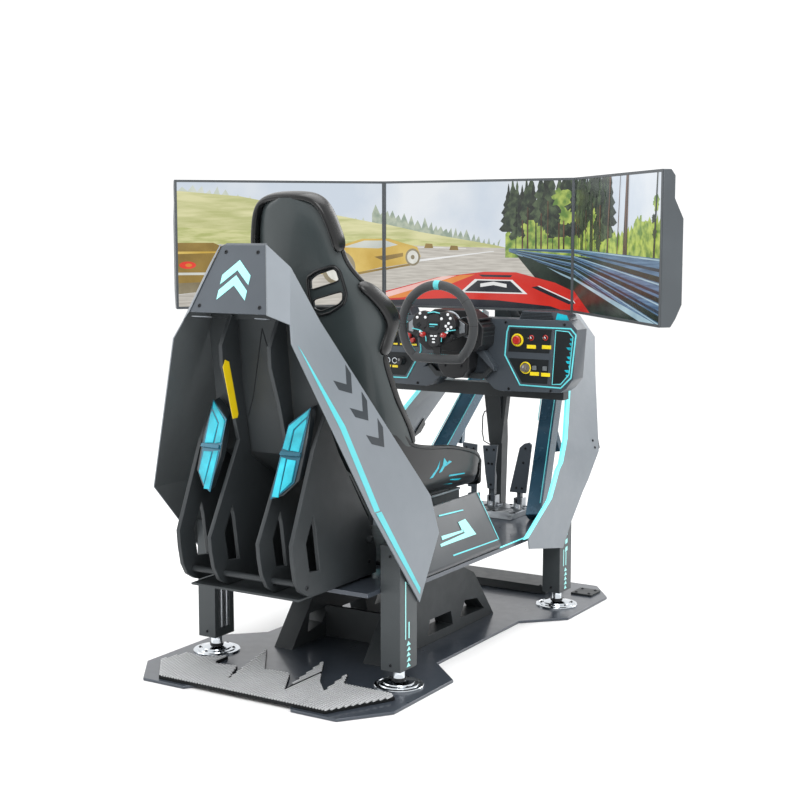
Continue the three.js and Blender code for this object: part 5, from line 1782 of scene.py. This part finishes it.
def back_bolsters():
    """The padded sides of the back."""
    for side in (1, -1):
        tag = hand(side)
        low, high = 0.085, 0.640
        rings = []
        for i in range(81):
            s = low + (high - low) * i / 80
            taper = end_taper(s, low, high, 0.035)
            wide = blend_list(BACK_WIDTH, s)
            inner, outer = 0.124, wide - 0.011
            reach = blend_list(BACK_WRAP, s) + 0.018
            middle, half = (inner + outer) / 2, (outer - inner) / 2 * (0.8 + 0.2 * taper)
            ring = []
            for a in round_angles(28):
                x = middle + half * squarish(math.cos(a), 0.6)
                rear = back_depth(x, s) - 0.010
                front = -0.030 - (reach - 0.012) * max(0.0, (x - inner) / (outer - inner)) ** 0.8
                mid = (rear + front) / 2
                depth = (rear - front) / 2 * taper
                ring.append(back_point(side * x, s, mid - depth * squarish(math.sin(a), 0.6)))
            rings.append(ring)
        closed_loft(f"seat_back_bolster_{tag}", rings, LEATHER)


def headrest():
    """The padded head of the back, with one groove."""
    low, high = 0.706, 0.884
    rings = []
    for i in range(41):
        s = low + (high - low) * i / 40
        taper = end_taper(s, low, high, 0.03)
        half = (blend_list(BACK_WIDTH, s) - 0.006) * (0.86 + 0.14 * taper)
        ring = []
        for a in round_angles(36):
            x = half * squarish(math.cos(a), 0.55)
            front = 0.036 + 0.014 * (abs(x) / half) ** 2 - groove(s, (0.800,), 0.005, 0.006)
            depth = (front if math.sin(a) > 0 else 0.003) * taper
            ring.append(back_point(x, s, 0.002 - depth * squarish(math.sin(a), 0.55)))
        rings.append(ring)
    closed_loft("headrest_pad", rings, LEATHER)


def edge_roll(name, path, across, deep, forward, ends):
    """A padded roll along the back's edge: path gives (x, s), and each place has its own thickness."""
    rings = []
    count = len(path)
    for i, (x, s) in enumerate(path):
        x0, s0 = path[max(0, i - 1)]
        x1, s1 = path[min(count - 1, i + 1)]
        way = Vector((x1 - x0, s1 - s0)).normalized()
        normal = Vector((way.y, -way.x))
        full = end_taper(i, -0.4, count - 0.6, ends) if ends else 1.0
        middle = forward(s)
        ring = []
        for a in round_angles(20):
            out = across(s) * full * squarish(math.cos(a), 0.8)
            t = deep(s) * full * squarish(math.sin(a), 0.8)
            ring.append(back_point(x + normal.x * out, s + normal.y * out, middle + t))
        rings.append(ring)
    return closed_loft(name, rings, GLOSS_LEATHER)


def arc_path(table, low, high, steps):
    return [(blend_list(table, s), s) for s in (low + (high - low) * k / steps for k in range(steps + 1))]


def edge_rolls():
    """The glossy padded trim: over the headrest, round each shoulder, and thin down each side."""
    head = [(0.735, 0.137), (0.760, 0.137), (0.800, 0.129), (0.840, 0.117), (0.862, 0.106), (0.877, 0.094)]
    right = arc_path(head, 0.738, 0.874, 14)
    top = [(0.088, 0.8805), (0.077, 0.8865), (0.062, 0.8910), (0.042, 0.8935), (0.021, 0.8947), (0.0, 0.895)]
    path = right + top + [(-x, s) for x, s in (right + top[:-1])[::-1]]
    edge_roll("headrest_roll", path, lambda s: 0.0105, lambda s: 0.027, lambda s: 0.004, 3)
    shoulder = [(0.440, 0.228), (0.480, 0.233), (0.530, 0.241), (0.570, 0.233), (0.600, 0.220),
                (0.640, 0.192), (0.655, 0.176)]
    for side in (1, -1):
        tag = hand(side)
        path = [(side * x, s) for x, s in arc_path(shoulder, 0.446, 0.652, 22)]
        edge_roll(f"shoulder_roll_{tag}", path, lambda s: 0.0120,
                  lambda s: 0.026 + 0.006 * math.sin((s - 0.44) * 14),
                  lambda s: 0.010 - blend_list(BACK_WRAP, s) * 0.86, 3)
        thin = [(side * (blend_list(BACK_WIDTH, s) - 0.001), s)
                for s in (0.14 + 0.305 * k / 18 for k in range(19))]
        edge_roll(f"side_roll_{tag}", thin, lambda s: 0.0065, lambda s: 0.011,
                  lambda s: -blend_list(BACK_WRAP, s), 2)
        neck = [(side * blend_list(BACK_WIDTH, s), s) for s in (0.648 + 0.094 * k / 10 for k in range(11))]
        edge_roll(f"neck_roll_{tag}", neck, lambda s: 0.0050, lambda s: 0.008,
                  lambda s: -blend_list(BACK_WRAP, s), 0)


CUSHION_TOP = [(-0.372, 0.560), (-0.300, 0.566), (-0.120, 0.560), (0.020, 0.557), (0.060, 0.550),
               (0.100, 0.520)]


def cushion():
    """The grooved seat cushion and its stitching."""
    low, high = -0.372, 0.104
    lines = [-0.300 + 0.062 * k for k in range(6)]
    rings = []
    for i in range(97):
        y = low + (high - low) * i / 96
        taper = end_taper(y, low, high, 0.030)
        base = 0.478 - 0.016 * (y - low) / (high - low)
        half = 0.150 * (0.95 + 0.05 * taper)
        ring = []
        for a in round_angles(40):
            x = half * squarish(math.cos(a), 0.45)
            crown = blend_list(CUSHION_TOP, y) - 0.012 + 0.010 * math.cos(x / half * math.pi / 2)
            crown -= groove(y, lines, 0.0045, 0.007) + groove(abs(x), (0.100,), 0.004, 0.006)
            middle = (crown + base) / 2
            ring.append(Vector((x, y, middle + (crown - base) / 2 * taper * squarish(math.sin(a), 0.45))))
        rings.append(ring)
    closed_loft("seat_cushion_cloth", rings, CLOTH, nodes=["seat_cushion"])
    for k, line in enumerate(lines):
        for d in (-0.007, 0.007):
            top = blend_list(CUSHION_TOP, line + d) - 0.0018
            run = [Vector((x, line + d, top - 0.0035 * (abs(x) / 0.15) ** 2))
                   for x in (-0.09, -0.04, 0, 0.04, 0.09)]
            stitches(f"cushion_stitch_{k}", run, (0, 0, 1), THREAD_GREY, "seat")


def thigh_bolsters():
    """The padded sides of the pan and their rolled noses."""
    for side in (1, -1):
        tag = hand(side)
        low, high = -0.395, 0.106
        rings = []
        for i in range(71):
            y = low + (high - low) * i / 70
            taper = end_taper(y, low, high, 0.060)
            top = min(blend_list(SIDE_TOP, y), 0.640) + 0.006
            outer = blend_list(PAN_WIDTH, y) - 0.009
            inner = 0.144
            base = 0.474
            middle, half = (inner + outer) / 2, (outer - inner) / 2
            ring = []
            for a in round_angles(28):
                across = squarish(math.cos(a), 0.62)
                lean = top - 0.030 * (1 - across) / 2
                centre = (lean + base) / 2
                z = centre + (lean - base) / 2 * (0.55 + 0.45 * taper) * squarish(math.sin(a), 0.62)
                ring.append(Vector((side * (middle + half * across),
                                    y - 0.012 * (1 - taper) * abs(math.sin(a)), z)))
            rings.append(ring)
        closed_loft(f"seat_thigh_bolster_{tag}", rings, LEATHER)
        nose = []
        for i in range(25):
            t = i / 24
            y, z = 0.020 + 0.088 * math.sin(t * math.pi / 2), 0.452 + 0.112 * math.cos(t * math.pi / 2)
            if t > 0.5:
                y = 0.108 - 0.010 * (t - 0.5)
            ring = []
            for a in round_angles(16):
                x = side * (blend_list(PAN_WIDTH, min(y, 0.10)) - 0.012 + 0.0135 * squarish(math.cos(a), 0.8))
                ring.append(Vector((x, y + 0.006 * math.sin(a) * math.sin(t * math.pi / 2),
                                    z + 0.006 * math.sin(a))))
            nose.append(ring)
        closed_loft(f"seat_nose_roll_{tag}", nose, GLOSS_LEATHER)


def side_streaks():
    """Plain slanting dashes on the outside of the pan, near its front, in the lamps' glowing finish though
    the pan holds no lamp: their glow is painted light.
    """
    shapes = [
        [(-0.245, 0.520), (-0.228, 0.521), (-0.200, 0.545), (-0.193, 0.568), (-0.210, 0.546)],
        [(-0.196, 0.530), (-0.180, 0.532), (-0.150, 0.556), (-0.170, 0.572), (-0.176, 0.551)],
        [(-0.166, 0.544), (-0.122, 0.554), (-0.140, 0.560)],
        [(-0.133, 0.510), (-0.036, 0.504), (-0.036, 0.508), (-0.130, 0.515)],
        [(-0.120, 0.500), (-0.050, 0.492), (-0.066, 0.488), (-0.115, 0.496)],
        [(-0.150, 0.488), (-0.090, 0.480), (-0.100, 0.484)],
    ]
    for k, outline in enumerate(shapes):
        for side in (1, -1):
            points = []
            for y, z in outline:
                width, top, low = blend_list(PAN_WIDTH, y), blend_list(SIDE_TOP, y), blend_list(PAN_LOW, y)
                depth = ((top - z) / (top - low)) ** 2
                points.append(Vector((side * (width * math.sqrt(1 - depth ** 2) ** 0.32 + 0.0008), y, z)))
            slab(f"streak_{k}_{side}", points, (-side * 0.0006, 0, 0), LAMP_AND_PAINTED_GLOW, "seat")


section("seat")
seat_back_shell()
seat_pan_shell()
runners()
back_panel()
back_bolsters()
headrest()
edge_rolls()
cushion()
thigh_bolsters()
side_streaks()

# ---- the end: joined trim ----
join_trim()
